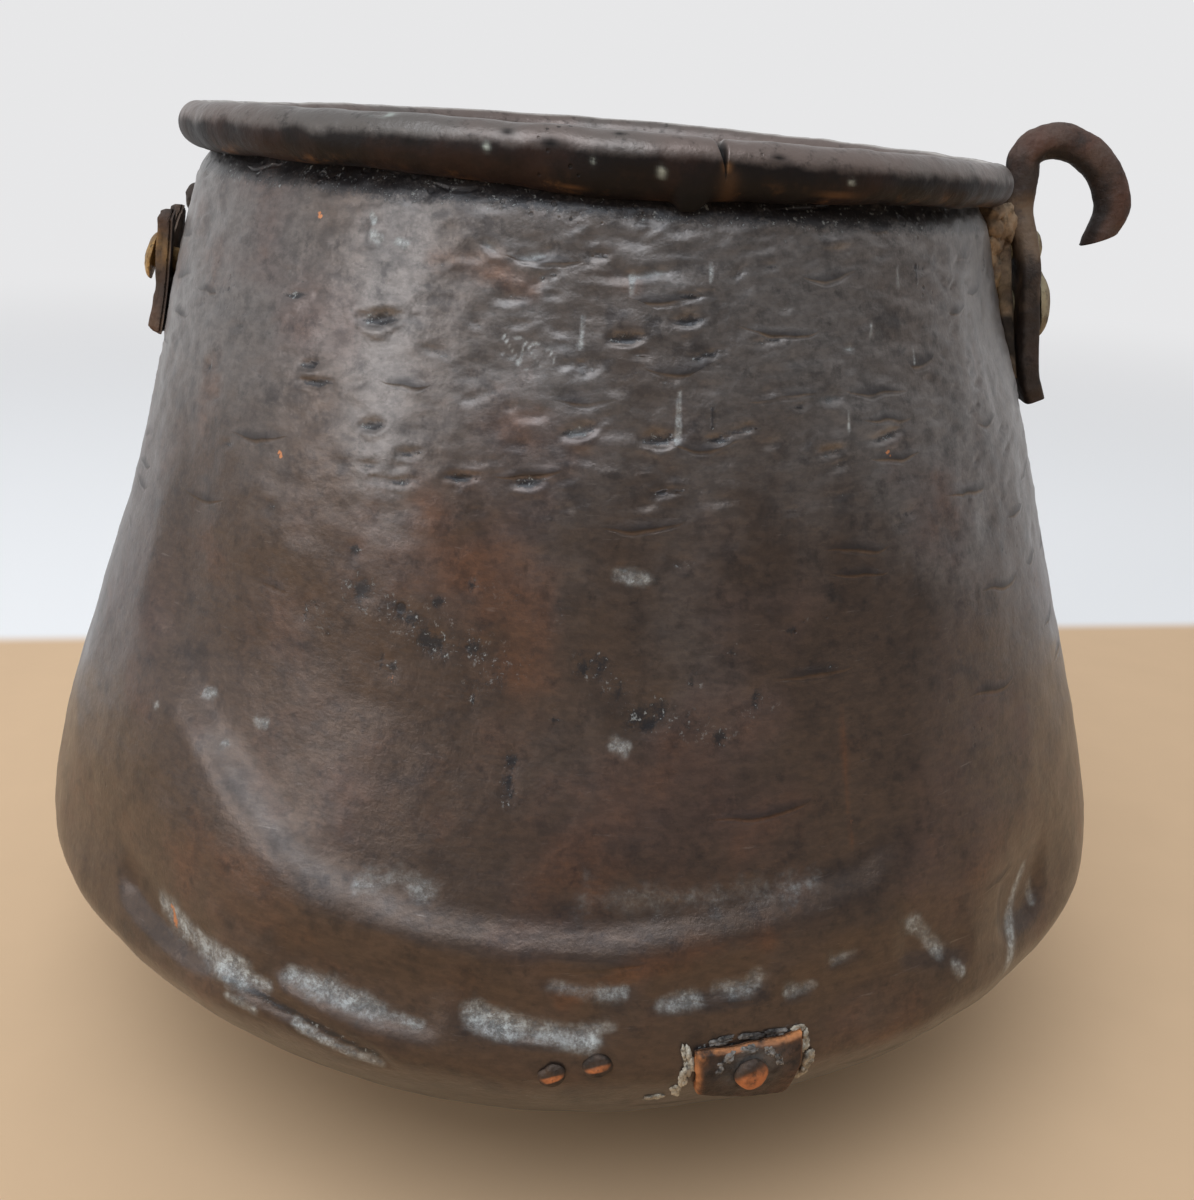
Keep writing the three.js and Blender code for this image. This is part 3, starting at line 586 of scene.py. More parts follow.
@dataclass(frozen=True)
class WallWork:
    """All the small work on the outside of the wall: presses, peen marks, pits and slow waves."""

    scattered: int = 760
    low: float = 122.0
    high: float = 185.0
    seed: int = 11
    lip_share: float = 0.4
    pit_depth: float = 0.35

    def scatter(self) -> list[Mark]:
        """Shallow peen marks spread over the whole wall, thicker towards the neck."""
        rng = np.random.default_rng(self.seed)
        marks = []
        for _ in range(self.scattered):
            height = self.high - (self.high - self.low) * rng.random() ** 1.7
            marks.append(Mark(
                azimuth=rng.uniform(-180, 180), height=height, length=rng.uniform(1.4, 4.2),
                tall=rng.uniform(0.5, 1.2), tilt=rng.normal(8, 9), depth=rng.uniform(0.1, 0.32)))
        return marks

    def carve(self, azimuth: Array, height: Array) -> tuple[Array, Array, Array]:
        """Works the marks and pits into a grid of azimuths and heights.

        Each mark is an almond: one minus the square of the way along it. Over it the metal sinks slowly
        from the top to a line near the lower edge, comes up steeply, and stands proud in a thin lip.

        Args:
            azimuth: Columns of the grid, in degrees.
            height: Rows of the grid.

        Returns:
            The relief in mm (outward positive), the share of pale filling, and the share of painted shade
            in the sunk marks and in the pits.
        """
        relief = np.zeros((len(height), len(azimuth)))
        pale, dark = np.zeros_like(relief), np.zeros_like(relief)
        for mark in (*self.scatter(), *MARKS):
            around = turn_between(azimuth, mark.azimuth) * FORM.per_degree(mark.height)
            above = height - mark.height
            lean = math.radians(mark.tilt)
            tall = mark.length * abs(math.sin(lean)) + 2.4 * mark.tall + 0.8
            grid = np.ix_(np.abs(above) < tall, np.abs(around) < mark.length + 1)
            x, y = around[grid[1]], above[grid[0]]
            u = (x * math.cos(lean) + y * math.sin(lean)) / mark.length
            v = y * math.cos(lean) - x * math.sin(lean)
            almond = np.clip(1 - u * u, 0, 1)
            w = v / (0.8 * mark.tall * (almond + 0.18))
            sunk = np.where(w > -0.55, smooth((1.1 - w) / 1.65), smooth((w + 1.1) / 0.55)) * almond
            lip = bell(w, -1.45, 0.45) * almond
            relief[grid] += mark.depth * (self.lip_share * lip - sunk)
            pale[grid] = np.maximum(pale[grid], 0.7 * mark.fill * sunk)
            # Painted shade: the deeper a mark, the darker its sunk part, less where it holds pale filling.
            mark_shade = min(1.0, max(mark.depth, 0) * 1.7 - 0.6 * mark.fill)
            dark[grid] = np.maximum(dark[grid], mark_shade * sunk)
        for turn, level, radius in PITS:
            x = turn_between(azimuth, turn)[None, :] * FORM.per_degree(level)
            y = (height - level)[:, None]
            uneven = 1 + 0.25 * np.sin(3 * np.arctan2(y, x) + turn)
            hole = bell(np.hypot(x, y * 1.25), width=1.5 * radius * uneven)
            relief -= self.pit_depth * hole
            # The pits are darkened in colour: their own dark oxide and painted shade in the holes.
            dark = np.maximum(dark, hole)
        return relief, pale, dark

    def presses(self, azimuth: Array, height: Array) -> Array:
        """Relief of the big dish and of the gouges along the belly's edge."""
        return -sum(press.sink(azimuth[None, :], height[:, None]) for press in (DISH, *GOUGES))

    def waves(self, points: Array, height: Array) -> Array:
        """Slow waves left by raising the sheet, and finer ones that grow towards the neck."""
        near = smooth((height - 90) / 70)[:, None]
        waves = 0.34 * fractal_noise(points, 24.0, 2, 3) + 0.14 * fractal_noise(points, 8.0, 2, 5)
        return waves + (0.05 + 0.13 * near) * fractal_noise(points * (1, 1, 2.2), 4.6, 2, 7)

    def drawn(self, azimuth: Array, height: Array, lines: Sequence[Stroke]) -> Array:
        """Strongest of some strokes at each place of the grid."""
        mask = np.zeros((len(height), len(azimuth)))
        for stroke in lines:
            ends = [p[1] for p in stroke.points]
            reach = 3 * stroke.width
            rows = (height > min(ends) - reach) & (height < max(ends) + reach)
            mask[rows] = np.maximum(mask[rows], stroke.mask(azimuth[None, :], height[rows, None]))
        return mask


@dataclass
class HammeredWall:
    """The raised sheet from the base to under the roll, and its inner face."""

    columns: int = 480
    rows: int = 182
    inner_columns: int = 120
    inner_rows: int = 34
    front: float = -92.0
    front_width: float = 54.0
    base_rings: tuple[float, float] = (0.33, 0.67)
    throat_thinning: float = 0.3
    ring_gap: float = 0.15
    map_radius: float = 0.105
    work: WallWork = field(default_factory=WallWork)

    def azimuths(self) -> Array:
        """Columns round the pot, closer together on the front."""
        places = np.linspace(-180, 180, 2000)
        near = turn_between(places, self.front) / self.front_width
        return spread(places, 1 + 3.4 * bell(near, power=4), self.columns, closed=True)

    def line(self) -> tuple[Array, Array]:
        """Outline from the base to the throat, and the unit normal at each point.

        The rows lie closest together on the hammered neck and along the belly's edge.
        """
        t = np.linspace(0, 1, 700)
        bowl, wall, shoulder = FORM.curves()
        dense = np.concatenate([bezier(bowl, t[:-1]), bezier(wall, t[:-1]), bezier(shoulder, t)])
        slope = np.gradient(dense, axis=0)
        normal = np.stack([slope[:, 1], -slope[:, 0]], 1)
        normal /= np.linalg.norm(normal, axis=1, keepdims=True)
        length = np.concatenate([[0], np.cumsum(np.hypot(*np.diff(dense, axis=0).T))])
        h = dense[:, 1]
        density = 0.35 + 0.9 * smooth((h - 40) / 12) + 0.5 * bell(h, 60, 12)
        density -= 0.35 * smooth((h - 84) / 10) * smooth((136 - h) / 10)
        density += 1.1 * smooth((h - 134) / 10)
        picks = spread(length, density, self.rows, closed=False)
        return tuple(
            np.stack([np.interp(picks, length, values) for values in table.T], 1)
            for table in (dense, normal))

    def build(self) -> Piece:
        """Makes the sheet as one closed skin with its masks and its wrapped map."""
        azimuth = self.azimuths()
        line, normal = self.line()
        radius, height = line[:, :1], line[:, 1]
        angle = np.radians(azimuth)[None, :]
        plain = FORM.worn(radius, azimuth[None, :], height[:, None])
        carved, pale, dark = self.work.carve(azimuth, height)
        relief = carved + self.work.presses(azimuth, height) + self.work.waves(plain, height)
        relief *= (smooth(height / 14.0) * smooth((FORM.throat[1] - height) / 3.0))[:, None]
        flat = normal[:, :1]
        out = np.broadcast_arrays(flat * np.cos(angle), flat * np.sin(angle), normal[:, 1:])
        outer = plain + relief[..., None] * np.stack(out, -1)
        masks = self._masks(azimuth, height, plain, pale, dark)
        skin = Skin()
        skin.ring(np.zeros((1, 3)))
        pace = 8
        for share in self.base_rings:
            skin.ring(FORM.worn(FORM.base_radius * share, azimuth, 0 * azimuth)[::pace])
        for i, r in enumerate(line[:, 0]):
            wanted = 8 if r < 40 else 4 if r < 62 else 2 if r < 90 and height[i] < 40 else 1
            pace = max(wanted, pace // 2)
            skin.ring(outer[i, ::pace], **{key: mask[i, ::pace] for key, mask in masks.items()})
        self._inside(skin, azimuth, line, normal)
        piece = skin.build("hammered_wall")
        wrap_map(piece, "sheet", self.map_radius)
        return piece

    def _inside(self, skin: Skin, azimuth: Array, line: Array, normal: Array) -> None:
        """Adds the inner face one sheet behind the outline, drawn a little into the roll at the top."""
        step = self.columns // self.inner_columns
        pace = 1
        for place in np.linspace(len(line) - 1, 0, self.inner_rows):
            i = int(round(place))
            thick = FORM.sheet * (1 - self.throat_thinning * smooth((line[i, 1] - 184) / 5))
            r, z = line[i] - thick * normal[i]
            r = r + self.work.presses(azimuth, line[i : i + 1, 1])[0]
            wanted = 4 * step if line[i, 0] < 40 else 2 * step if line[i, 0] < 70 else step
            pace = min(wanted, pace * 2)
            while True:
                skin.ring(FORM.worn(r, azimuth, z + 0 * azimuth)[::pace], inside=1.0)
                if pace >= min(wanted, step):
                    break
                z -= self.ring_gap
                pace *= 2
        skin.ring(np.array([0, 0, FORM.sheet]), inside=1.0)

    def _masks(
        self, azimuth: Array, height: Array, points: Array, pale: Array, dark: Array
    ) -> dict[str, Array]:
        """Where the patina changes over the outside, and where painted shade and painted highlights lie, as
        shares from 0 to 1.
        """
        warm, grey, chalk_and_glint, soot_and_shade, bare = (
            self.work.drawn(azimuth, height, lines)
            for lines in (WARM_STROKES, GREY_AND_HIGHLIGHT_STROKES, CHALK_AND_GLINT_STROKES, SOOT_AND_SHADE_STROKES, BARE_STROKES))
        tone = smooth((height - 92) / 88)[:, None] * 0.75 + 0.16 * fractal_noise(points, 34.0, 3, 41)
        # under: painted shadow on the wall just below the roll; it goes into the dark mask.
        under = smooth((height - 182.6) / 3.4)[:, None]
        return {
            # tone: greyer towards the neck, with noise, and raised by the grey strokes, some of which are
            # painted highlights.
            "tone": np.clip(tone + 0.6 * grey, 0, 1),
            "warm": warm,
            "pale": np.maximum(pale, chalk_and_glint),
            "bare": bare,
            "dark": np.maximum(np.maximum(dark, soot_and_shade), 0.8 * under),
            "hammer": np.broadcast_to(smooth((height - 104) / 40)[:, None], soot_and_shade.shape),
        }


@dataclass
class RolledRim:
    """The sheet's edge rolled over the wire: slack, dented, hanging at the front and split once.

    A spot is a mask's name, an azimuth, a turn round the roll, and half sizes in mm and in degrees.
    """

    columns: int = 900
    rows: int = 40
    inner_rows: int = 8
    start: float = 222.0
    split: float = -76.9
    flap: float = -80.0
    flap_drop: float = 1.5
    dent: float = -114.5
    hang: float = 1.5
    hang_at: float = -88.0
    hang_spread: float = 34.0
    spots: tuple[tuple[str, float, float, float, float], ...] = (
        # The cleft spots are painted shade in small hollows of the roll.
        ("cleft", -95.0, 22, 2.0, 14), ("cleft", -99.5, 40, 1.0, 8), ("cleft", -88.0, 62, 0.8, 7),
        ("pale", -83.6, -14, 0.6, 6), ("pale", -62.0, -10, 0.6, 5), ("pale", -90.6, -2, 0.4, 5),
        ("ochre", -63.4, -40, 3.4, 5), ("ochre", -92.0, -52, 3.0, 5), ("ochre", -106.0, -50, 2.6, 5),
        ("pale", -101.5, 6, 0.5, 6), ("cleft", -110.0, 4, 1.2, 9), ("cleft", -71.0, 30, 1.4, 8),
    )

    def azimuths(self) -> Array:
        """Columns round the mouth, closer together on the front and closest at the split."""
        places = np.linspace(-180, 180, 4000)
        near, cleft = turn_between(places, -90), turn_between(places, self.split)
        density = 1 + 1.6 * bell(near, width=62, power=4) + 5.0 * bell(cleft, width=3.2, power=4)
        return spread(places, density, self.columns, closed=True)

    def build(self) -> Piece:
        """Makes the roll as a closed skin: out over the wire to the cut edge, and back inside."""
        azimuth = self.azimuths()
        skin = Skin()
        for turn in np.linspace(self.start, FORM.roll_end, self.rows + 1):
            points, masks = self._ring(azimuth, turn)
            skin.ring(points, **masks)
        for turn in np.linspace(FORM.roll_end, self.start, self.inner_rows + 1):
            points = self._plain(azimuth, turn, FORM.roll_inner)
            points[:, 2] -= self._sag(azimuth, points) * max(0.0, -math.sin(math.radians(turn)))
            # The inside of the roll carries the cleft mask: painted shade.
            skin.ring(points, cleft=1.0)
        skin.ring(skin.points[0])
        return skin.build("rolled_rim")

    def _plain(self, azimuth: Array, turn: float, half: tuple[float, float]) -> Array:
        """Ring of an even roll: an oval about the wire, carried to the worn mouth."""
        c, s = math.cos(math.radians(turn)), math.sin(math.radians(turn))
        height = np.full(len(azimuth), FORM.roll_height + half[1] * s)
        return FORM.worn(FORM.roll_radius + half[0] * c, azimuth, height)

    def _sag(self, azimuth: Array, points: Array) -> Array:
        """How far the lower edge hangs: a hump and a flap at the front, and a slow wave elsewhere."""
        hump = smooth(1 - np.abs(turn_between(azimuth, self.hang_at)) / self.hang_spread)
        flap = bell(turn_between(azimuth, self.flap), width=1.6, power=4)
        return self.hang * hump + self.flap_drop * flap + 0.3 * fractal_noise(points, 16.0, 2, 21)

    def _ring(self, azimuth: Array, turn: float) -> tuple[Array, dict[str, Array]]:
        """Ring of the roll's outside with its dents and the split, and its masks."""
        c, s = math.cos(math.radians(turn)), math.sin(math.radians(turn))
        points = self._plain(azimuth, turn, FORM.roll_outer)
        outer_side = 1.0 if c > -0.35 or s < 0 else 0.0
        points[:, 2] -= self._sag(azimuth, points) * max(0.0, -s) * (1.0 if c > -0.3 else 0.0)
        push = 0.22 * fractal_noise(points, 15.0, 2, 23) + 0.1 * fractal_noise(points, 4.2, 3, 25)
        push += 0.16 * fractal_noise(points * (1, 1, 1.6), 7.0, 1, 27)
        push *= smooth((self.start - turn) / 25)
        level = FORM.roll_outer[1] * s
        reach = math.radians(1.0) * FORM.rim_radius
        off = turn_between(azimuth, self.split) * reach + 0.12 * level
        groove = bell(off, width=0.14 + 0.18 * max(0.0, level), power=4)
        groove *= outer_side * smooth((level + 1.4) / 1.6)
        dent_at = np.hypot(turn_between(azimuth, self.dent) * reach / 2.6, (turn - 66) / 13)
        push -= 1.3 * groove + 0.35 * bell(dent_at)
        angle = np.radians(azimuth)
        way = np.broadcast_arrays(c * np.cos(angle), c * np.sin(angle), s)
        points += push[:, None] * np.stack(way, 1)
        wave = fractal_noise(points, 9.0, 2, 61)
        drip = fractal_noise(points * (1, 1, 3), 6.0, 2, 63)
        lump = bell(off, 0.2, 0.8) * bell(turn, 2, 11)
        stain = 0.30 * bell(off, 0.6, 1.5) * smooth((8 - turn) / 25)
        flap = bell(turn_between(azimuth, self.flap), width=1.9, power=4) * smooth((-s - 0.4) / 0.3)
        masks = {
            # under: painted shade on the roll's lower half, which faces away from the lamps.
            "under": np.clip(0.72 - 0.80 * s - 0.1 * wave, 0, 1) * outer_side,
            # crest: painted highlight along the top of the roll, where the lamp above catches it.
            "crest": bell(turn, 103, 7),
            "streak": np.clip(bell(turn, -62, 26) * (0.2 + 0.9 * drip), 0, 1),
            # cleft: painted shade in the split's groove and under the lifted flap.
            "cleft": np.maximum(groove, flap),
            "ochre": np.maximum(lump, stain) * (1 - groove),
            # pale: whitish specks round the dent near the crest and on the roll's face, partly painted
            # glints.
            "pale": 0.9 * bell(dent_at, 0.8, 0.35) * np.clip(0.6 + wave, 0, 1),
        }
        for key, place, at, wide, tall in self.spots:
            spot = bell(turn_between(azimuth, place) * reach, width=wide) * bell(turn, at, tall)
            if key == "ochre":
                spot *= np.clip(0.7 + 1.6 * wave, 0, 1)
            masks[key] = np.maximum(masks[key], spot)
        return points, masks


@dataclass(frozen=True)
class TangPath:
    """The hook's forged bar and its tang, as the solid has them: drops and stands are in mm."""

    azimuth: float = -3.0
    bar: float = 7.2
    rise: float = 4.6
    reach: float = 9.8
    gap: float = 0.3
    tang_thickness: float = 4.4
    tang_width: float = 18.0
    squareness: float = 0.35
    foot_drop: float = 37.6
    foot_stand: float = 1.4
    foot_lip: float = 0.9
    hollow: float = 1.2
    hollow_rise: float = 5.0
    top_drop: float = 5.0
    top_stand: float = 5.6
    swell: float = 0.8
    shoulder_margin: float = 6.0
    stem_start: float = 5.0
    stem_end: float = 1.5
    stem_lean: float = 0.2
    bow: tuple[Triple, ...] = (
        (0.02, 3.6, 1.0), (0.24, 1.1, 1.0), (0.64, 0.0, 1.0), (1.12, 1.2, 1.0), (1.57, 4.2, 1.0),
        (1.88, 8.2, 1.0), (2.02, 12.8, 1.0), (1.85, 19.1, 0.93))
    tip_cut: float = 0.75
    cut_start: float = 0.84
    rivet_drop: float = 18.0

    @property
    def foot(self) -> float:
        """Height of the tang's foot."""
        return FORM.neck_height - self.foot_drop

    @property
    def top(self) -> float:
        """Height where the tang goes over into the stem."""
        return FORM.neck_height - self.top_drop

    def wall(self, level: Array) -> Array:
        """Radius of the worn wall on the hook's plane at real heights."""
        heights = np.linspace(60, FORM.throat[1], 500)
        points = FORM.wall_point(self.azimuth, heights)
        return np.interp(level, points[:, 2], np.hypot(points[:, 0], points[:, 1]))

    def face(self, level: Array) -> Array:
        """Radius of the tang's inner face at real heights."""
        t = (np.asarray(level, float) - self.foot) / (self.top - self.foot)
        return self.wall(level) + self.foot_stand + (self.top_stand - self.foot_stand) * t

    def place(self, radius: Array, height: Array, across: Array) -> Array:
        """Point of the hook's own plane, moved sideways by across."""
        angle = math.radians(self.azimuth)
        x = radius * math.cos(angle) - across * math.sin(angle)
        y = radius * math.sin(angle) + across * math.cos(angle)
        return np.stack(np.broadcast_arrays(x, y, height), -1)

    def knots(self) -> Array:
        """Radius, height and thickness of the points that the bar's middle line runs through."""
        half = self.tang_thickness / 2
        middle = (self.foot + self.top) / 2
        low, mid, high = (self.face(level) + half for level in (self.foot, middle, self.top))
        rim = FORM.worn(np.array(FORM.rim_radius), np.array(self.azimuth), np.array(FORM.roll_height))[2]
        stem = FORM.rim_radius + self.gap + self.bar / 2
        crown = rim + FORM.roll_outer[1] + self.rise
        line = [
            (low + self.foot_lip, self.foot, self.tang_thickness),
            (low - self.hollow, self.foot + self.hollow_rise, self.tang_thickness),
            (mid, middle, self.tang_thickness),
            (high + self.swell / 2, self.top, self.tang_thickness + self.swell),
            (stem, rim - self.stem_start, self.bar),
            (stem + self.stem_lean, rim + self.stem_end, self.bar),
        ]
        line += [(stem + self.reach * s, crown - d, self.bar * share) for s, d, share in self.bow]
        return np.array(line)

    def run(self, t: Array) -> Array:
        """Centripetal curve through the knots: cubic spans that grow with the root of the distance."""
        knots = self.knots()
        ends = np.concatenate([[2 * knots[0] - knots[1]], knots, [2 * knots[-1] - knots[-2]]])
        spans = np.maximum(np.linalg.norm(np.diff(ends, axis=0), axis=1) ** 0.5, 1e-4)
        place = np.clip(np.asarray(t, float), 0, 1) * (len(knots) - 1)
        i = np.minimum(place.astype(int), len(knots) - 2)
        s = (place - i)[:, None]
        p0, p1, p2, p3 = (ends[i + k] for k in range(4))
        d0, d1, d2 = (spans[i + k][:, None] for k in range(3))
        m1 = ((p1 - p0) / d0 - (p2 - p0) / (d0 + d1) + (p2 - p1) / d1) * d1
        m2 = ((p2 - p1) / d1 - (p3 - p1) / (d1 + d2) + (p3 - p2) / d2) * d1
        return p1 + m1 * s + (3 * (p2 - p1) - 2 * m1 - m2) * s**2 + (2 * (p1 - p2) + m1 + m2) * s**3


TANG = TangPath()


@dataclass
class ForgedHook:
    """The iron hook: a flat tang that narrows to a round bar, bent over and cut to a claw."""

    rings: int = 260
    sides: int = 56
    claw_rings: Line = ((0.96, -0.15), (0.75, 0.15), (0.4, 0.4))

    def build(self) -> Piece:
        """Lofts a squared oval along the bar's line and roughens it as the forge and rust would."""
        t = np.linspace(0, 1, self.rings + 1)
        line = TANG.run(t)
        slope = np.gradient(line[:, :2], axis=0)
        slope /= np.linalg.norm(slope, axis=1, keepdims=True)
        low = FORM.neck_height - TANG.rivet_drop + TANG.shoulder_margin
        high = FORM.roll_height - TANG.shoulder_margin
        wide = np.where(t < 0.5, 1 - smooth((line[:, 1] - low) / (high - low)), 0.0)
        width = (line[:, 2] + (TANG.tang_width - line[:, 2]) * wide) / 2
        width *= 1 - 0.1 * smooth((0.05 - t) / 0.05)
        power = 1 + (TANG.squareness - 1) * wide
        skin = Skin()
        angle = full_turn(self.sides) + math.pi / self.sides
        for i in range(self.rings + 1):
            c, s = squared(angle, power[i])
            out = line[i, 2] / 2 * s
            along = TANG.tip_cut * out * smooth((t[i] - TANG.cut_start) / (1 - TANG.cut_start))
            radius = line[i, 0] + out * slope[i, 1] + along * slope[i, 0]
            height = line[i, 1] - out * slope[i, 0] + along * slope[i, 1]
            points = self._forged(TANG.place(radius, height, width[i] * c), line[i])
            if i == 0:
                skin.ring(points.mean(0))
            skin.ring(points, **self._masks(points, c, s, t[i]))
        back = TANG.place(slope[-1, 0], slope[-1, 1], 0.0)
        for share, sunk in self.claw_rings:
            inner = points.mean(0) + (points - points.mean(0)) * share - sunk * back
            # The claw's hollow cut gets painted shade through the inner mask.
            skin.ring(inner, rust=0.4, inner=0.6)
        skin.cap()
        return skin.build("forged_hook")

    def _forged(self, points: Array, line: Array) -> Array:
        """Moves points to and from the bar's middle line by a coarse and a fine noise."""
        push = 0.28 * fractal_noise(points, 9.0, 2, 71) + 0.16 * fractal_noise(points, 2.6, 3, 73) - 0.12
        away = points - TANG.place(line[0], line[1], 0.0)
        away /= np.linalg.norm(away, axis=1, keepdims=True) + 1e-9
        return points + push[:, None] * away

    def _masks(self, points: Array, near: Array, side: Array, t: float) -> dict[str, Array]:
        """Rust on the bow, painted shade on its inner side, the tang darker all over, and crust on the
        stem's near side.
        """
        bow = smooth((t - 0.38) / 0.1)
        rust = np.clip(0.1 + 0.55 * bow + 0.5 * fractal_noise(points, 5.0, 3, 75), 0, 1)
        # Painted shade on the inner side of the bow; the tang is darker all over.
        inner = bow * smooth((side - 0.15) / 0.5) + 0.55 * (1 - bow)
        level = points[:, 2]
        crust = smooth((level - 172) / 5) * smooth((189 - level) / 4) * smooth((0.5 - near) / 0.6)
        blotch = smooth((fractal_noise(points, 6.0, 2, 89) + 0.02) / 0.45) * smooth((176 - level) / 5)
        crust = np.maximum(crust * (1 - bow), 0.8 * blotch)
        return {"rust": rust, "inner": np.clip(inner, 0, 1), "crust": crust}


@dataclass(frozen=True)
class Crust:
    """One lump of crust: its middle on the hook's plane and its half sizes in mm, and its tone."""

    radius: float
    height: float
    across: float
    size: Triple
    tone: float


def lump_rings(
    skin: Skin, middle: Array, axes: Array, size: Array, rough: float, seed: int,
    rows: int = 22, columns: int = 36, **masks: float
) -> None:
    """Adds one closed lump to a skin: a ball stretched along three axes and swollen by noise.

    Args:
        skin: Takes the rings; the lump isn't joined to what it holds.
        middle: Centre in mm.
        axes: Three unit directions as rows.
        size: Half sizes along them.
        rough: Strength of the swelling, as a share of the size.
        seed: Picks the noise.
        rows: Rings from pole to pole.
        columns: Points in a ring.
        masks: Values given to the whole lump.
    """
    skin.last = None
    for i in range(rows + 1):
        latitude = math.pi * i / rows
        turn = full_turn(columns)[: 1 if i in (0, rows) else columns]
        ball = np.broadcast_arrays(
            math.sin(latitude) * np.cos(turn), math.sin(latitude) * np.sin(turn), -math.cos(latitude))
        ball = np.stack(ball, 1)
        swell = 1 + rough * fractal_noise(ball * 10 + seed, 7.0, 3, seed)
        skin.ring(middle + (ball * swell[:, None] * size) @ axes, **masks)
    skin.last = None


@dataclass
class HookPacking:
    """The ochre packing between wall and tang, and the crust that has grown round it."""

    width: float = 13.0
    taper: float = 0.25
    top_drop: float = 3.0
    foot_drop: float = 33.0
    corner_power: float = 0.5
    tang_gap: float = 0.2
    wall_gap: float = 0.1
    steps: int = 60
    sides: int = 64
    lump_rough: float = 0.35
    crusts: tuple[Crust, ...] = (
        Crust(81.5, 182.5, -6.5, (3.6, 4.2, 4.2), 0.3),
        Crust(83.0, 179.5, 6.0, (3.4, 4.0, 5.0), 0.35),
        Crust(82.6, 176.0, -6.4, (2.9, 3.0, 4.4), 0.45),
        Crust(85.2, 181.0, -4.6, (2.4, 2.6, 4.0), 0.4),
        Crust(83.6, 171.0, -6.0, (2.0, 2.4, 4.0), 0.75),
        Crust(84.4, 166.5, -5.6, (1.5, 2.0, 3.2), 0.9),
        Crust(85.6, 162.5, -5.0, (1.2, 1.8, 3.0), 0.8),
    )

    def build(self) -> Piece:
        """Makes the body as a lofted wedge of four noisy sides, then adds the lumps."""
        skin = Skin()
        foot, top = FORM.neck_height - self.foot_drop, FORM.neck_height - self.top_drop
        c, s = squared(full_turn(self.sides), self.corner_power)
        for i in range(self.steps + 1):
            share = i / self.steps
            h = foot + (top - foot) * share
            across = self.width / 2 * (1 - self.taper * share) * c
            outer = TANG.face(h) - self.tang_gap
            inner = np.sqrt(TANG.wall(h) ** 2 - across**2) + self.wall_gap
            radius = inner + (outer - inner) * (s + 1) / 2
            points = TANG.place(radius, np.full(self.sides, h), across)
            bumps = 0.5 * fractal_noise(points, 5.0, 3, 81)
            points = points + (bumps * np.sign(c) * (np.abs(c) > 0.6))[:, None] * TANG.place(0.0, 0.0, 1.0)
            tone = np.clip(0.55 + 0.6 * fractal_noise(points, 6.0, 3, 83), 0, 1)
            slots = bell(h, 160, 8, 4) * (0.75 + 1.6 * fractal_noise(points, 4.0, 3, 87))
            low = 0.95 * smooth((157 - h) / 5) * (0.9 + 0.8 * fractal_noise(points, 3.0, 2, 88))
            dark = np.clip(np.maximum(slots, low), 0, 1)
            if i == 0:
                skin.ring(points.mean(0), tone=0.5, dark=0.8)
            skin.ring(points, tone=tone, dark=dark)
        skin.cap()
        axes = TANG.place(*np.array([[1.0, 0, 0], [0, 0, 1.0], [0, 1.0, 0]]))
        for number, crust in enumerate(self.crusts):
            middle = TANG.place(crust.radius, crust.height, crust.across)
            lump_rings(skin, middle, axes, crust.size, self.lump_rough, 91 + number, tone=crust.tone)
        return skin.build("hook_packing_crust")


@dataclass(frozen=True)
class TurnedShape:
    """Where a turned solid stands: its axis, found from the spread of its own corners.

    The direction whose spread differs most from the other two is the axis of a turned shape.
    """

    middle: Array
    axis: Array
    side: Array
    up: Array
    top: float
    bottom: float

    @classmethod
    def of_node(cls, name: str) -> "TurnedShape":
        """Reads the shape of a node of the frame, in mm, with the axis pointing away from the pot."""
        points = np.unique(np.round(mesh_points(frame["nodes"][name].data) / MM, 3), axis=0)
        middle = points.mean(0)
        values, vectors = np.linalg.eigh(np.cov((points - middle).T))
        odd = int(np.argmax([abs(values[i] - (values.sum() - values[i]) / 2) for i in range(3)]))
        axis = vectors[:, odd]
        if axis[:2] @ middle[:2] < 0:
            axis = -axis
        along = (points - middle) @ axis
        side = np.cross([0, 0, 1.0], axis)
        side /= np.linalg.norm(side)
        return cls(middle, axis, side, np.cross(axis, side), float(along.max()), float(along.min()))

    def place(self, side: Array, up: Array, along: Array) -> Array:
        """Points from their places along the shape's own three directions."""
        return (self.middle + np.asarray(side)[..., None] * self.side + np.asarray(up)[..., None] * self.up
                + np.asarray(along)[..., None] * self.axis)


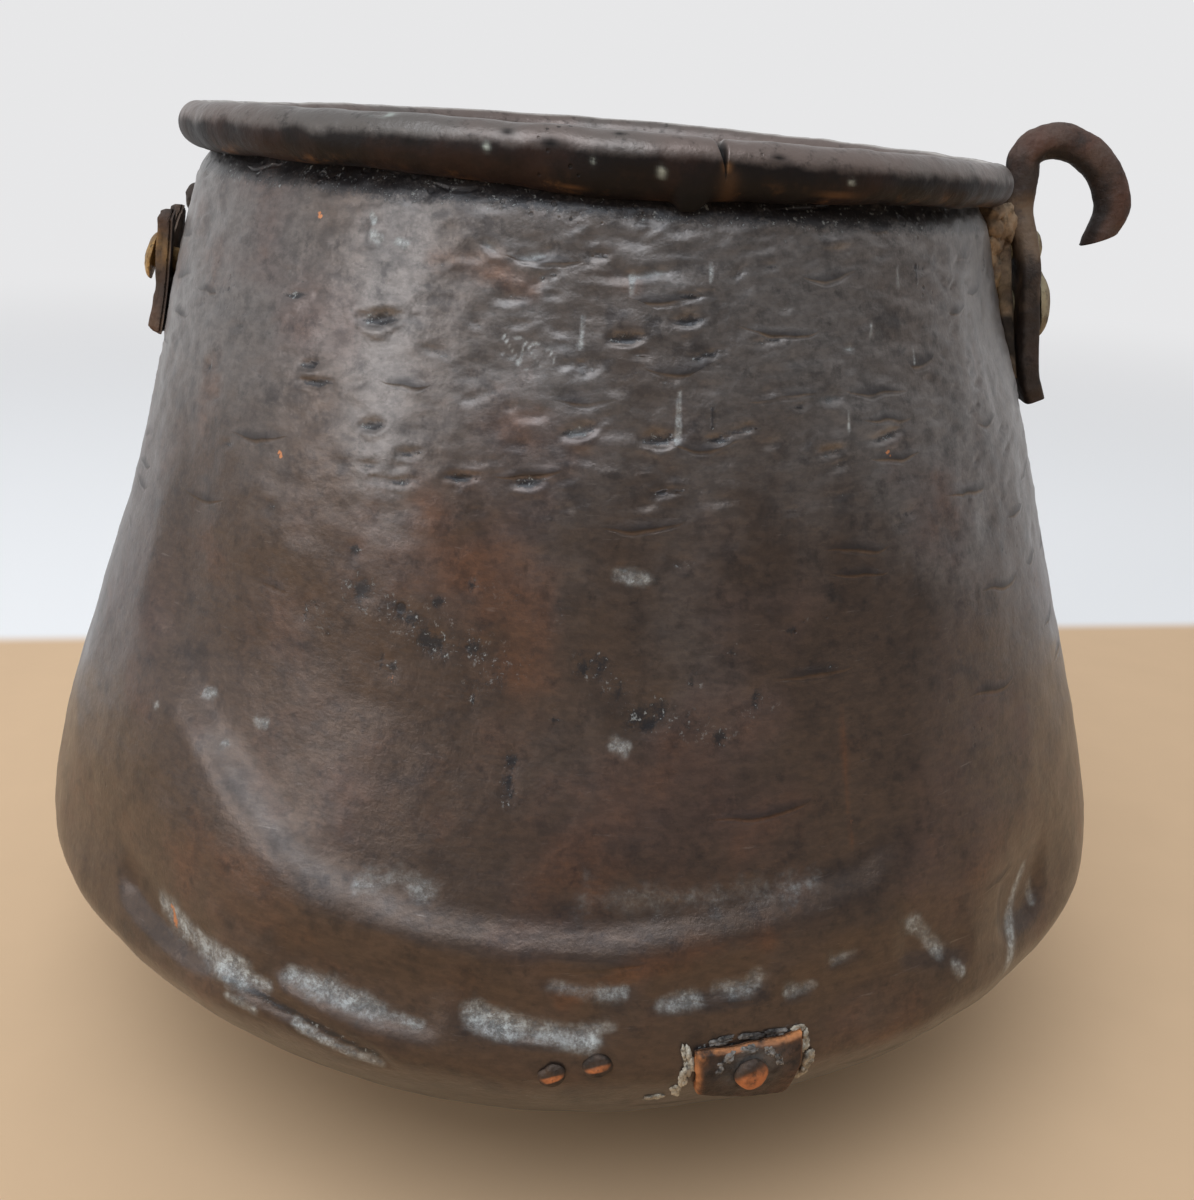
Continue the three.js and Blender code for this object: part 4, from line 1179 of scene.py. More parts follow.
@dataclass
class Rivet:
    """One rivet with its hammered outer dome, shank and inner head."""

    node: str
    name: str
    head: float
    rise: float
    shank: float
    inner_head: float
    inner_rise: float
    uneven: float
    rubbed: Triple = (9.0, 9.0, 0.0)
    sides: int = 72
    rows: int = 22
    seed: int = 101
    edge_share: float = 0.97
    edge_drop: float = 0.12
    shank_drop: float = 0.15

    def build(self) -> Piece:
        """Turns the profile round the solid's own axis, then swells it unevenly.

        The dome is a quarter oval: radius head times the sine, height rise times the cosine.
        """
        shape = TurnedShape.of_node(self.node)
        base, seat = shape.top - self.rise, shape.bottom + self.inner_rise
        bend = np.linspace(0, math.pi / 2, self.rows + 1)
        rings = [(self.head * math.sin(a), base + self.rise * math.cos(a)) for a in bend]
        rings.append((self.head * self.edge_share, base - self.edge_drop))
        rings += [(self.shank, base - self.shank_drop), (self.shank, seat)]
        rings += [(self.inner_head * math.sin(a), seat - self.inner_rise * math.cos(a)) for a in bend[::-2]]
        turn = full_turn(self.sides)
        wide, tall, shift = self.rubbed
        circle = np.stack([np.cos(turn), np.sin(turn), np.full(self.sides, self.seed)], 1)
        wobble = 1 + self.uneven * lattice_noise(circle, 0.8, self.seed)
        skin = Skin()
        for radius, along in rings:
            if radius < 1e-6:
                skin.ring(shape.place(0.0, 0.0, along))
                continue
            side, up = radius * np.cos(turn), radius * np.sin(turn)
            points = shape.place(side * wobble, up * wobble, np.full(self.sides, along))
            outer = 1.0 if along > base - 0.05 else 0.0
            spot = np.hypot((side - 0.25 * up) / wide, (up - shift - 0.25 * side) / tall)
            push = outer * self.rise * (0.10 * fractal_noise(points, self.head * 0.55, 3, self.seed) - 0.06)
            skin.ring(points + push[:, None] * shape.axis, rub=outer * smooth(2.2 - 2 * spot))
        return skin.build(self.name)


@dataclass
class WallPlate:
    """A thin plate that follows the wall, as a field over the unit square with a rounded edge."""

    steps_across: int = 96
    steps_up: int = 72

    def outline(self, u: Array, v: Array) -> tuple[Array, Array, Array, Array]:
        """Azimuth, height, stand and thickness at each place of the square."""
        raise NotImplementedError

    def relief(self, points: Array, u: Array, v: Array) -> Array:
        """How far the outer face is pushed out."""
        raise NotImplementedError

    def masks(self, points: Array, u: Array, v: Array) -> dict[str, Array]:
        """Shares for the finish."""
        raise NotImplementedError

    def make(self, name: str) -> Piece:
        """Builds outer and inner faces and the edge between them as one closed grid.

        The grid's outer ring is shared: the outer face falls to the inner one by the square root of the
        distance from the edge, which rounds it.
        """
        u, v = np.meshgrid(
            np.linspace(0, 1, self.steps_across + 1), np.linspace(0, 1, self.steps_up + 1), indexing="ij")
        azimuth, height, stand, thick = self.outline(u, v)
        inner, _, _, out = FORM.wall_frame(azimuth, height)
        edge = np.minimum(np.minimum(u, 1 - u) * self.steps_across, np.minimum(v, 1 - v) * self.steps_up)
        full = np.sqrt(np.clip(edge / 3.0, 0, 1))
        low = inner + stand[..., None] * out
        lift = thick * (0.25 + 0.75 * full) + self.relief(low, u, v) * full
        high = low + lift[..., None] * out
        rows, columns = u.shape
        points = np.concatenate([high.reshape(-1, 3), low.reshape(-1, 3)])
        top = np.arange(rows * columns).reshape(rows, columns)
        below = top + rows * columns
        faces = [self._quads(top), self._quads(below)[:, ::-1]]
        rim = np.concatenate([top[0, :-1], top[:-1, -1], top[-1, :0:-1], top[:0:-1, 0]])
        under = rim + rows * columns
        faces.append(np.stack([rim, np.roll(rim, -1), np.roll(under, -1), under], 1)[:, ::-1])
        masks = self.masks(high, u, v)
        masks = {key: np.concatenate([m.ravel(), 0 * m.ravel()]) for key, m in masks.items()}
        return make_object(name, points * MM, np.concatenate(faces).tolist(), masks)

    @staticmethod
    def _quads(ids: Array) -> Array:
        """Quads of a grid of point numbers."""
        return np.stack([ids[:-1, :-1], ids[1:, :-1], ids[1:, 1:], ids[:-1, 1:]], -1).reshape(-1, 4)


@dataclass
class BrokenStrap(WallPlate):
    """The torn foot of the other strap."""

    azimuth: float = 188.0
    thickness: float = 2.6
    width: float = 17.0
    top_drop: float = 8.5
    foot_drop: float = 31.5
    foot_stand: float = 0.5
    top_stand: float = 2.6
    notch: float = 5.5
    horn_turns: float = 1.5
    horn_shift: float = 0.25

    def outline(self, u: Array, v: Array) -> tuple[Array, Array, Array, Array]:
        """Plate between a wavy foot and a torn top with two horns."""
        foot, top = FORM.neck_height - self.foot_drop, FORM.neck_height - self.top_drop
        ragged = 0.7 * np.sin(u * 31) * np.sin(u * 17 + 1) + 0.3 * np.sin(u * 77)
        torn = self.notch * np.abs(np.sin(math.pi * (u * self.horn_turns + self.horn_shift)))
        height = foot + 0.4 * np.sin(u * 9) + v * (top - self.notch + torn + ragged - foot)
        across = (u - 0.5) * self.width * (1 - 0.10 * v**2 + 0.03 * np.sin(v * 13))
        azimuth = self.azimuth + np.degrees(across / FORM.outline_radius(height))
        stand = self.foot_stand + (self.top_stand - self.foot_stand) * v * v
        return azimuth, height, stand, np.full_like(u, self.thickness)

    def relief(self, points: Array, u: Array, v: Array) -> Array:
        """Coarse forged lumps, a deep slot near the front edge and a swollen front edge."""
        slot = bell(u, 0.80, 0.06) * smooth((v - 0.28) / 0.08) * smooth((0.66 - v) / 0.08)
        swollen = bell(u, 0.95, 0.06) * bell(v, 0.72, 0.16)
        return 0.35 * fractal_noise(points, 5.0, 3, 113) - 1.7 * slot + 0.5 * swollen

    def masks(self, points: Array, u: Array, v: Array) -> dict[str, Array]:
        """Golden spot near the torn top, and painted shade in the slot below it."""
        return {
            "gold": bell(u, 0.88, 0.12) * bell(v, 0.72, 0.12),
            "dark": bell(u, 0.80, 0.07) * smooth((v - 0.26) / 0.08) * smooth((0.68 - v) / 0.08),
            "rust": np.clip(0.4 + 0.6 * fractal_noise(points, 4.5, 3, 115), 0, 1),
        }


@dataclass
class BellyPatch(WallPlate):
    """The small riveted patch, a skewed plate with bright worn edges."""

    azimuth: float = -75.4
    height: float = 52.0
    width: float = 18.0
    tall: float = 13.0
    thickness: float = 1.2
    lift: float = 0.5
    skew: float = 1.6

    def outline(self, u: Array, v: Array) -> tuple[Array, Array, Array, Array]:
        """Skewed plate; its lower left corner is cut short."""
        ragged = 0.18 * np.sin(v * 11) + 0.12 * np.sin(v * 29 + 2)
        across = (u - 0.5) * (self.width - self.skew * (0.5 - v) + ragged)
        height = self.height + (v - 0.5) * (self.tall + 0.25 * np.sin(u * 14))
        height += self.skew * (u - 0.5) * (v - 0.5) + 4.6 * (1 - u) ** 1.6 * (1 - v) ** 1.4
        azimuth = self.azimuth + np.degrees(across / FORM.outline_radius(height))
        stand, thick = self.lift * 0.2, self.thickness + self.lift * 0.8
        return azimuth, height, np.full_like(u, stand), np.full_like(u, thick)

    def relief(self, points: Array, u: Array, v: Array) -> Array:
        """Small dents, and a shallow dish round the rivet."""
        dish = np.exp(-(((u - 0.5) ** 2 + (v - 0.65) ** 2) / 0.08))
        return 0.14 * fractal_noise(points, 3.0, 3, 121) - 0.25 * dish

    def masks(self, points: Array, u: Array, v: Array) -> dict[str, Array]:
        """Bright rubbed edges, thickest on the left and along the top."""
        wobble = 1 + 0.5 * fractal_noise(points, 3.0, 2, 123)
        left = bell(u, 0, 0.035 * wobble) * (0.6 + 0.4 * v)
        top = bell(v, 1, 0.04 * wobble)
        right = 0.8 * bell(u, 1, 0.02 * wobble)
        corner = bell(u, 0.02, 0.09) * bell(v, 0.95, 0.12)
        grime = np.exp(-(((u - 0.5) ** 2 + 0.7 * (v - 0.68) ** 2) / 0.06))
        return {"edge": np.clip(np.maximum.reduce([left, top, right, corner]), 0, 1), "grime": grime}


@dataclass(frozen=True)
class Bead:
    """One lump on the wall: its place, half sizes around, up and out, tilt, and lift off the wall."""

    azimuth: float
    height: float
    around: float
    up: float
    out: float
    tilt: float = 0.0
    lift: float = 0.0


@dataclass
class PatchSolder:
    """Ridges of old solder beside the patch and black crust along its top and round its rivet."""

    pale: tuple[Bead, ...] = (
        Bead(-80.3, 56.4, 0.8, 2.4, 0.8, 10), Bead(-80.5, 52.6, 0.7, 2.4, 0.7, 6),
        Bead(-81.0, 48.8, 0.9, 1.8, 0.6, -8), Bead(-70.4, 56.6, 0.6, 1.8, 0.6, -8),
        Bead(-70.1, 52.6, 0.8, 2.8, 0.9, -6), Bead(-70.0, 48.0, 0.7, 2.2, 0.7, -4),
        Bead(-82.4, 46.6, 1.6, 0.7, 0.4, 20), Bead(-71.0, 58.9, 1.2, 0.5, 0.4, 0),
    )
    parts: int = 12
    lump_rough: float = 0.5
    lump_rows: int = 8
    lump_columns: int = 12
    black: tuple[Bead, ...] = (
        Bead(-77.6, 59.2, 2.2, 0.5, 0.6, 8), Bead(-75.4, 59.4, 2.2, 0.5, 0.6, 0),
        Bead(-73.2, 59.1, 2.0, 0.5, 0.6, -6),
        Bead(-77.9, 55.4, 0.7, 1.2, 0.6, -15, 1.4), Bead(-77.1, 57.2, 1.2, 0.7, 0.6, 35, 1.4),
        Bead(-75.4, 58.0, 1.6, 0.6, 0.6, 0, 1.3), Bead(-73.9, 57.2, 1.2, 0.7, 0.6, -35, 1.4),
        Bead(-73.1, 55.4, 0.6, 1.2, 0.6, 15, 1.4),
    )

    def build(self, name: str, beads: tuple[Bead, ...], seed: int) -> Piece:
        """Lays each bead on the wall, or at its lift above it, as a cluster of small noisy lumps."""
        skin = Skin()
        rng = np.random.default_rng(seed)
        for number, bead in enumerate(beads):
            place, around, up, out = FORM.wall_frame(bead.azimuth, bead.height)
            lean = math.radians(bead.tilt)
            side = around * math.cos(lean) + up * math.sin(lean)
            axes = np.stack([side, np.cross(out, side), out])
            size = np.array([bead.around, bead.up, bead.out])
            for k in range(self.parts):
                at = rng.uniform(-0.8, 0.8, 3) * size * (1, 1, 0.2)
                part = size * rng.uniform(0.25, 0.5) + 0.15
                middle = place + at @ axes + bead.lift * out
                lump_rings(
                    skin, middle, axes, part, self.lump_rough, seed + 7 * number + k,
                    self.lump_rows, self.lump_columns)
        return skin.build(name)


class NodeSheet:
    """Adds and links shader nodes in one node tree."""

    def __init__(self, tree: Tree) -> None:
        """Keeps the tree the nodes go into."""
        self.tree = tree

    def add(self, kind: str, inputs: dict[str | int, object] | None = None, **settings: object) -> Node:
        """Adds a node, sets its settings, and sets or links its inputs.

        Args:
            kind: The node's type name without "ShaderNode".
            inputs: A value or an output socket for each input name or number.
            settings: Plain properties of the node.

        Returns:
            The new node.
        """
        node = self.tree.nodes.new("ShaderNode" + kind)
        for key, value in settings.items():
            setattr(node, key, value)
        self.feed_all(node, inputs or {})
        return node

    def feed_all(self, node: Node, inputs: dict[str | int, object]) -> None:
        """Sets or links several inputs of a node."""
        for key, value in inputs.items():
            self.feed(node.inputs[key], value)

    def feed(self, socket: Socket, value: object) -> None:
        """Links an output to a socket, or sets the socket's own value."""
        if isinstance(value, Socket):
            self.tree.links.new(value, socket)
        elif isinstance(value, tuple) and socket.type == "RGBA":
            socket.default_value = (*value[:3], 1.0)
        else:
            socket.default_value = value

    def math(self, operation: str, a: object, b: object = 0.0, clamp: bool = False) -> Socket:
        """Output of a Math node."""
        return self.add("Math", {0: a, 1: b}, operation=operation, use_clamp=clamp).outputs[0]

    def times(self, a: object, b: object) -> Socket:
        """Product of two values."""
        return self.math("MULTIPLY", a, b)

    def larger(self, a: object, b: object) -> Socket:
        """Larger of two values."""
        return self.math("MAXIMUM", a, b)

    def total(self, *terms: tuple[object, float]) -> Socket:
        """Sum of values, each times its own number."""
        result = self.math("MULTIPLY", terms[0][0], terms[0][1])
        for value, number in terms[1:]:
            node = self.add("Math", {0: value, 1: number, 2: result}, operation="MULTIPLY_ADD")
            result = node.outputs[0]
        return result

    def mix(self, factor: object, a: object, b: object) -> Socket:
        """Colour output of a Mix node."""
        return self.add("Mix", {0: factor, 6: a, 7: b}, data_type="RGBA", clamp_factor=True).outputs[2]

    def coats(self, color: object, *rows: tuple[object, object]) -> Socket:
        """Colour with tints laid over it in turn, each by its own factor."""
        for factor, tint in rows:
            color = self.mix(factor, color, tint)
        return color

    def noise(self, vector: object, scale: float, detail: float, rough: float = 0.55) -> Socket:
        """Factor output of a Noise Texture; scale counts features per metre."""
        inputs = {"Vector": vector, "Scale": scale, "Detail": detail, "Roughness": rough}
        return self.add("TexNoise", inputs).outputs["Fac"]

    def band(self, value: object, low: float, high: float, most: float = 1.0) -> Socket:
        """Value spread so that low becomes 0 and high becomes most, with soft ends."""
        inputs = {"Value": value, "From Min": low, "From Max": high, "To Max": most}
        return self.add("MapRange", inputs, interpolation_type="SMOOTHSTEP").outputs["Result"]

    def mask(self, name: str) -> Socket:
        """One of the piece's own point attributes."""
        return self.add("Attribute", attribute_name=name).outputs["Fac"]

    def place(self) -> Socket:
        """Object coordinates."""
        return self.add("TexCoord").outputs["Object"]

    def stretched(self, vector: object, across: float, up: float) -> Socket:
        """A flat map scaled by one number across and another up."""
        return self.add("Mapping", {"Vector": vector, "Scale": (across, up, 1.0)}).outputs[0]

    def group(self, tree: Tree, **inputs: object) -> Node:
        """Places a node group and feeds its inputs."""
        node = self.add("Group", node_tree=tree)
        self.feed_all(node, inputs)
        return node

    def bump(self, shader: Node, height: object) -> None:
        """Feeds the shader's normal from a height in millimetres."""
        node = self.add("Bump", {"Height": height, "Strength": 1.0, "Distance": MM})
        self.feed(shader.inputs["Normal"], node.outputs["Normal"])


def new_group(
    name: str, numbers: dict[str, float], outputs: Sequence[str]
) -> tuple["NodeSheet", Items, Items]:
    """Makes an empty shader group that turns a vector and some numbers into other numbers.

    Args:
        name: The group's name.
        numbers: Its number inputs with their usual values.
        outputs: Names of its outputs.

    Returns:
        The group's sheet, the sockets it reads and the sockets it feeds.
    """
    group = bpy.data.node_groups.new(name, "ShaderNodeTree")
    group.interface.new_socket("Vector", in_out="INPUT", socket_type="NodeSocketVector")
    for key, value in numbers.items():
        socket = group.interface.new_socket(key, in_out="INPUT", socket_type="NodeSocketFloat")
        socket.default_value = value
    for key in outputs:
        group.interface.new_socket(key, in_out="OUTPUT", socket_type="NodeSocketFloat")
    start, end = group.nodes.new("NodeGroupInput"), group.nodes.new("NodeGroupOutput")
    return NodeSheet(group), start.outputs, end.inputs


def pitting_group() -> Tree:
    """Small round pits in uneven clusters: cells of a Voronoi field, kept where a slow noise is high."""
    sheet, start, end = new_group("pitting", {"Scale": 300.0, "Share": 0.5}, ["Mask"])
    cells = sheet.add("TexVoronoi", {"Vector": start["Vector"], "Scale": start["Scale"]}).outputs
    slow = sheet.noise(start["Vector"], 45.0, 3.0)
    split = sheet.add("SeparateColor", {"Color": cells["Color"]}).outputs
    size = sheet.total((split[0], 0.26), (1.0, 0.08))
    spot = sheet.band(sheet.math("SUBTRACT", size, cells["Distance"]), 0.0, 0.12)
    keep = sheet.math("ADD", slow, sheet.math("SUBTRACT", start["Share"], 0.5))
    sheet.feed(end["Mask"], sheet.times(spot, sheet.band(keep, 0.52, 0.66)))
    return sheet.tree


def peening_group() -> Tree:
    """Small almond marks, one in each kept cell of a stretched Voronoi field.

    In a cell, u runs along the mark and v across it. The almond is one minus u squared. The metal sinks
    from v = 1 down to v = -0.6, comes back at v = -1, and has a thin lip just below.
    """
    sheet, start, end = new_group("peening", {"Scale": 130.0, "Share": 0.5}, ["Sunk", "Lip"])
    vector, scale = start["Vector"], start["Scale"]
    warp = sheet.add("TexNoise", {"Vector": vector, "Scale": 60.0, "Detail": 2.0}).outputs["Color"]
    bent = sheet.add("VectorMath", {0: warp, 1: (0.5, 0.5, 0.5)}, operation="SUBTRACT").outputs[0]
    bent = sheet.add("VectorMath", {0: bent, 1: (0.006, 0.006, 0.0), 2: vector}, operation="MULTIPLY_ADD")
    turned = sheet.add("Mapping", {
        "Vector": bent.outputs[0], "Rotation": (0.0, 0.0, -0.14), "Scale": (0.36, 1.0, 1.0)}).outputs[0]
    cells = sheet.add("TexVoronoi", {"Vector": turned, "Scale": scale}, voronoi_dimensions="2D").outputs
    local = sheet.add("VectorMath", {0: turned, 1: cells["Position"]}, operation="SUBTRACT").outputs[0]
    local = sheet.add("VectorMath", {0: local, "Scale": scale}, operation="SCALE").outputs[0]
    parts = sheet.add("SeparateXYZ", {0: local}).outputs
    dice = sheet.add("SeparateColor", {"Color": cells["Color"]}).outputs
    u = sheet.times(parts[0], sheet.total((dice[1], 1.2), (1.0, 1.9)))
    almond = sheet.math("SUBTRACT", 1.0, sheet.times(u, u), clamp=True)
    v = sheet.math("DIVIDE", parts[1], sheet.total((almond, 0.16), (1.0, 0.03)))
    sunk = sheet.times(sheet.band(v, 1.0, -0.6), sheet.band(v, -1.05, -0.65))
    lip = sheet.band(sheet.math("ABSOLUTE", sheet.math("ADD", v, 1.3)), 0.4, 0.0)
    keep = sheet.times(almond, sheet.band(sheet.math("ADD", dice[0], start["Share"]), 0.98, 1.06))
    sheet.feed(end["Sunk"], sheet.times(sunk, keep))
    sheet.feed(end["Lip"], sheet.times(lip, keep))
    return sheet.tree


def weather_group() -> Tree:
    """Slow, middle and fine noise that every old surface here is broken up with."""
    rows = {
        "Slow": (16.0, 4.0, 0.55), "Cloud": (62.0, 6.0, 0.62), "Blot": (210.0, 5.0, 0.62),
        "Grain": (900.0, 4.0, 0.6),
    }
    sheet, start, end = new_group("weather", {"Scale": 1.0}, list(rows))
    scaled = sheet.add("VectorMath", {0: start["Vector"], "Scale": start["Scale"]}, operation="SCALE")
    for name, row in rows.items():
        sheet.feed(end[name], sheet.noise(scaled.outputs[0], *row))
    return sheet.tree


@dataclass(frozen=True)
class Effects:
    """The shared shader groups, made once."""

    pitting: Tree
    peening: Tree
    weather: Tree


@dataclass(frozen=True)
class Finish:
    """What every finish shares: a name, the shared groups, and a principled shader to feed."""

    name: str
    effects: Effects

    def material(self) -> Material:
        """Makes the material and lets the finish dress it."""
        material = bpy.data.materials.new(self.name)
        material.use_nodes = True
        tree = material.node_tree
        shader = next(n for n in tree.nodes if n.type == "BSDF_PRINCIPLED")
        self.dress(NodeSheet(tree), shader)
        return material

    def dress(self, sheet: NodeSheet, shader: Node) -> None:
        """Feeds the shader; each finish has its own way."""
        raise NotImplementedError

    def pits(self, sheet: NodeSheet, place: Socket, scale: float, share: object) -> Socket:
        """Mask of small pits, so many per metre, over about a share of the surface."""
        return sheet.group(self.effects.pitting, Vector=place, Scale=scale, Share=share).outputs[0]


@dataclass(frozen=True)
class WallPatina(Finish):
    """Old hammered copper under a brown to grey skin, with pits, chalk, rubbed spots, painted shade and
    painted glints.
    """

    brown: Triple = (0.092, 0.062, 0.046)
    grey: Triple = (0.185, 0.168, 0.160)
    plum: Triple = (0.120, 0.074, 0.064)
    warm: Triple = (0.170, 0.078, 0.040)
    # The soot colour serves for sooty dirt and for the painted shade in the marks, the pits, the fold and
    # under the roll.
    soot_and_shade: Triple = (0.014, 0.013, 0.016)
    olive_shade: Triple = (0.040, 0.029, 0.019)
    rubbed: Triple = (0.30, 0.26, 0.24)
    chalk_and_glint: Triple = (0.44, 0.47, 0.47)
    copper: Triple = (0.60, 0.24, 0.10)
    inner: Triple = (0.13, 0.075, 0.056)
    coat: float = 0.30
    coat_roughness: float = 0.32

    def dress(self, sheet: NodeSheet, shader: Node) -> None:
        """Layers the tones by the masks and noises, with painted shade in the marks and pits, then cuts
        marks and pits into the bump.
        """
        place = sheet.place()
        wrapped = sheet.add("UVMap", uv_map="sheet").outputs[0]
        slow, cloud, blot, grain = sheet.group(self.effects.weather, Vector=place).outputs
        streak = sheet.noise(sheet.stretched(wrapped, 0.55, 1.3), 190.0, 5.0, 0.6)
        mottle = sheet.noise(place, 150.0, 4.0, 0.65)
        scratch = sheet.noise(sheet.stretched(wrapped, 0.22, 1.9), 520.0, 5.0, 0.7)
        fine = sheet.noise(sheet.stretched(wrapped, 0.6, 1.1), 640.0, 4.0, 0.7)
        smudge = sheet.noise(place, 250.0, 5.0, 0.68)
        sand = sheet.noise(place, 520.0, 6.0, 0.78)
        speck = sheet.noise(place, 1500.0, 3.0, 0.65)
        grit = sheet.total((sand, 0.5), (speck, 0.5))
        uneven = sheet.total((blot, 0.8), (speck, 0.9), (1.0, -0.85))
        level = sheet.add("SeparateXYZ", {0: place}).outputs[2]
        hammer, soot_and_shade_mask = sheet.mask("hammer"), sheet.mask("dark")
        tone = sheet.total((sheet.mask("tone"), 1.0), (slow, 1.3), (cloud, 0.9), (1.0, -1.1))
        warmth = sheet.total((sheet.mask("warm"), 0.55), (cloud, 1.6), (slow, 0.9), (1.0, -1.22))
        color = sheet.coats(
            self.brown,
            (sheet.band(tone, 0.1, 0.95), self.grey),
            (sheet.band(sheet.noise(place, 31.0, 3.0), 0.48, 0.7, 0.55), self.plum),
            (sheet.band(warmth, 0.1, 0.75, 0.85), self.warm),
            # Painted shade: the bowl below the belly's edge darkens to olive-brown towards the bottom,
            # where it turns away from the lamps.
            (sheet.band(level, 0.060, 0.026, 0.8), self.olive_shade),
            (sheet.band(streak, 0.5, 0.75, 0.25), self.soot_and_shade),
            (sheet.band(mottle, 0.50, 0.68, 0.35), self.soot_and_shade),
            (sheet.band(blot, 0.52, 0.74, 0.4), self.soot_and_shade),
            (sheet.band(smudge, 0.53, 0.70, 0.45), self.soot_and_shade),
            (sheet.band(fine, 0.60, 0.40, 0.25), self.soot_and_shade),
            (sheet.band(scratch, 0.62, 0.74, 0.3), self.rubbed))
        share = sheet.total((hammer, 0.20), (cloud, 0.25), (1.0, -0.06))
        peen = sheet.group(self.effects.peening, Vector=wrapped, Scale=150.0, Share=share).outputs
        pit = self.pits(sheet, place, 620.0, sheet.total((soot_and_shade_mask, 0.2), (1.0, 0.38)))
        spots = self.pits(sheet, place, 250.0, sheet.total((soot_and_shade_mask, 1.2), (1.0, 0.04)))
        pale = sheet.band(sheet.total((sheet.mask("pale"), 1.0), (mottle, 1.1), (1.0, -0.55)), 0.15, 1.0)
        deep = sheet.larger(
            sheet.band(sheet.math("ADD", soot_and_shade_mask, uneven), 0.34, 0.85, 0.95),
            sheet.times(pale, sheet.band(sand, 0.47, 0.38, 0.85)))
        # dark: painted shade in the sunk half of the shader's peen marks and in the small pits, with larger
        # dark spots.
        dark = sheet.larger(sheet.times(pit, 0.7), sheet.times(peen["Sunk"], 0.7))
        dark = sheet.larger(dark, sheet.times(spots, 0.9))
        fleck = sheet.times(sheet.band(soot_and_shade_mask, 0.2, 0.6, 0.5), sheet.band(grit, 0.56, 0.62))
        crumbs = sheet.total(
            (sheet.band(sand, 0.45, 0.64), 0.6), (sheet.band(speck, 0.46, 0.60), 0.2), (1.0, 0.28))
        # Pale patches: whitish crust, and painted glints where the strokes mark glints on upward-facing
        # dents.
        chalk_and_glint = sheet.larger(sheet.times(pale, crumbs), fleck)
        bare = sheet.band(sheet.total((sheet.mask("bare"), 1.0), (uneven, 1.0)), 0.35, 0.6)
        color = sheet.coats(
            color, (sheet.larger(dark, deep), self.soot_and_shade), (chalk_and_glint, self.chalk_and_glint), (bare, self.copper),
            (sheet.mask("inside"), sheet.mix(cloud, self.inner, self.brown)))
        rough = sheet.total(
            (cloud, 0.30), (blot, 0.18), (grain, 0.12), (chalk_and_glint, 0.2), (dark, 0.2), (1.0, 0.08))
        sheet.feed_all(shader, {
            "Base Color": color, "Metallic": sheet.total((chalk_and_glint, -0.5), (deep, -0.3), (1.0, 0.62)),
            "Roughness": rough, "Coat Weight": self.coat, "Coat Roughness": self.coat_roughness})
        height = sheet.total(
            (cloud, 0.34), (blot, 0.16), (streak, 0.12), (grain, 0.04), (pit, -0.18), (sand, 0.07),
            (smudge, -0.08), (peen["Sunk"], -0.18), (peen["Lip"], 0.07), (chalk_and_glint, 0.05), (deep, -0.06),
            (spots, -0.16))
        sheet.bump(shader, height)


@dataclass(frozen=True)
class RimPatina(Finish):
    """The roll's copper: rubbed grey above, a painted shade of brown-black below, a painted highlight along
    the crest, and ochre along the edge.
    """

    grey: Triple = (0.142, 0.130, 0.122)
    rose: Triple = (0.175, 0.138, 0.124)
    # under and russet colour the painted shade on the roll's underside.
    under: Triple = (0.008, 0.006, 0.006)
    russet: Triple = (0.026, 0.014, 0.011)
    # Colour of the painted highlight on the roll's crest.
    crest: Triple = (0.60, 0.57, 0.53)
    ochre: Triple = (0.26, 0.13, 0.055)
    # The soot colour serves for sooty smudges and for the painted shade in the split.
    soot_and_shade: Triple = (0.010, 0.009, 0.009)
    chalk_and_glint: Triple = (0.42, 0.47, 0.43)
    specular: float = 0.2

    def dress(self, sheet: NodeSheet, shader: Node) -> None:
        """Turns from grey to a painted shade of brown-black on the roll's underside, then adds the painted
        highlight on the crest, the ochre edge and the painted shade in the split.
        """
        place = sheet.place()
        slow, cloud, blot, grain = sheet.group(self.effects.weather, Vector=place).outputs
        smudge = sheet.noise(place, 330.0, 6.0, 0.72)
        # Painted shade on the roll's underside.
        under = sheet.band(sheet.total((sheet.mask("under"), 1.0), (blot, 0.5), (1.0, -0.25)), 0.3, 0.68)
        drip = sheet.band(sheet.noise(place, 200.0, 5.0, 0.7), 0.47, 0.62)
        edge = sheet.larger(sheet.times(sheet.mask("streak"), drip), sheet.mask("ochre"))
        pit = self.pits(sheet, place, 560.0, 0.46)
        # cleft: painted shade in the split, under the flap, inside the roll and in its hollows, together
        # with the pits.
        cleft = sheet.larger(sheet.mask("cleft"), sheet.times(pit, 0.7))
        color = sheet.coats(
            self.grey,
            (sheet.band(sheet.total((slow, 1.0), (cloud, 0.4)), 0.55, 0.85), self.rose),
            (sheet.band(smudge, 0.53, 0.68, 0.5), self.soot_and_shade),
            (sheet.times(sheet.mask("crest"), sheet.band(blot, 0.3, 0.5, 0.9)), self.crest),
            (under, sheet.mix(sheet.band(cloud, 0.42, 0.62), self.under, self.russet)),
            (sheet.times(edge, 0.55), self.ochre),
            (cleft, self.soot_and_shade),
            # Pale specks on the roll: whitish crust and painted glints.
            (sheet.times(sheet.mask("pale"), sheet.band(blot, 0.4, 0.55)), self.chalk_and_glint))
        rough = sheet.total((cloud, 0.25), (blot, 0.25), (cleft, 0.25), (under, 0.15), (1.0, 0.12))
        sheet.feed_all(shader, {
            "Base Color": color, "Metallic": sheet.total((under, -0.4), (1.0, 0.6)),
            "Roughness": rough, "Specular IOR Level": self.specular})
        height = sheet.total((cloud, 0.3), (blot, 0.22), (grain, 0.06), (smudge, 0.1), (pit, -0.16))
        sheet.bump(shader, height)


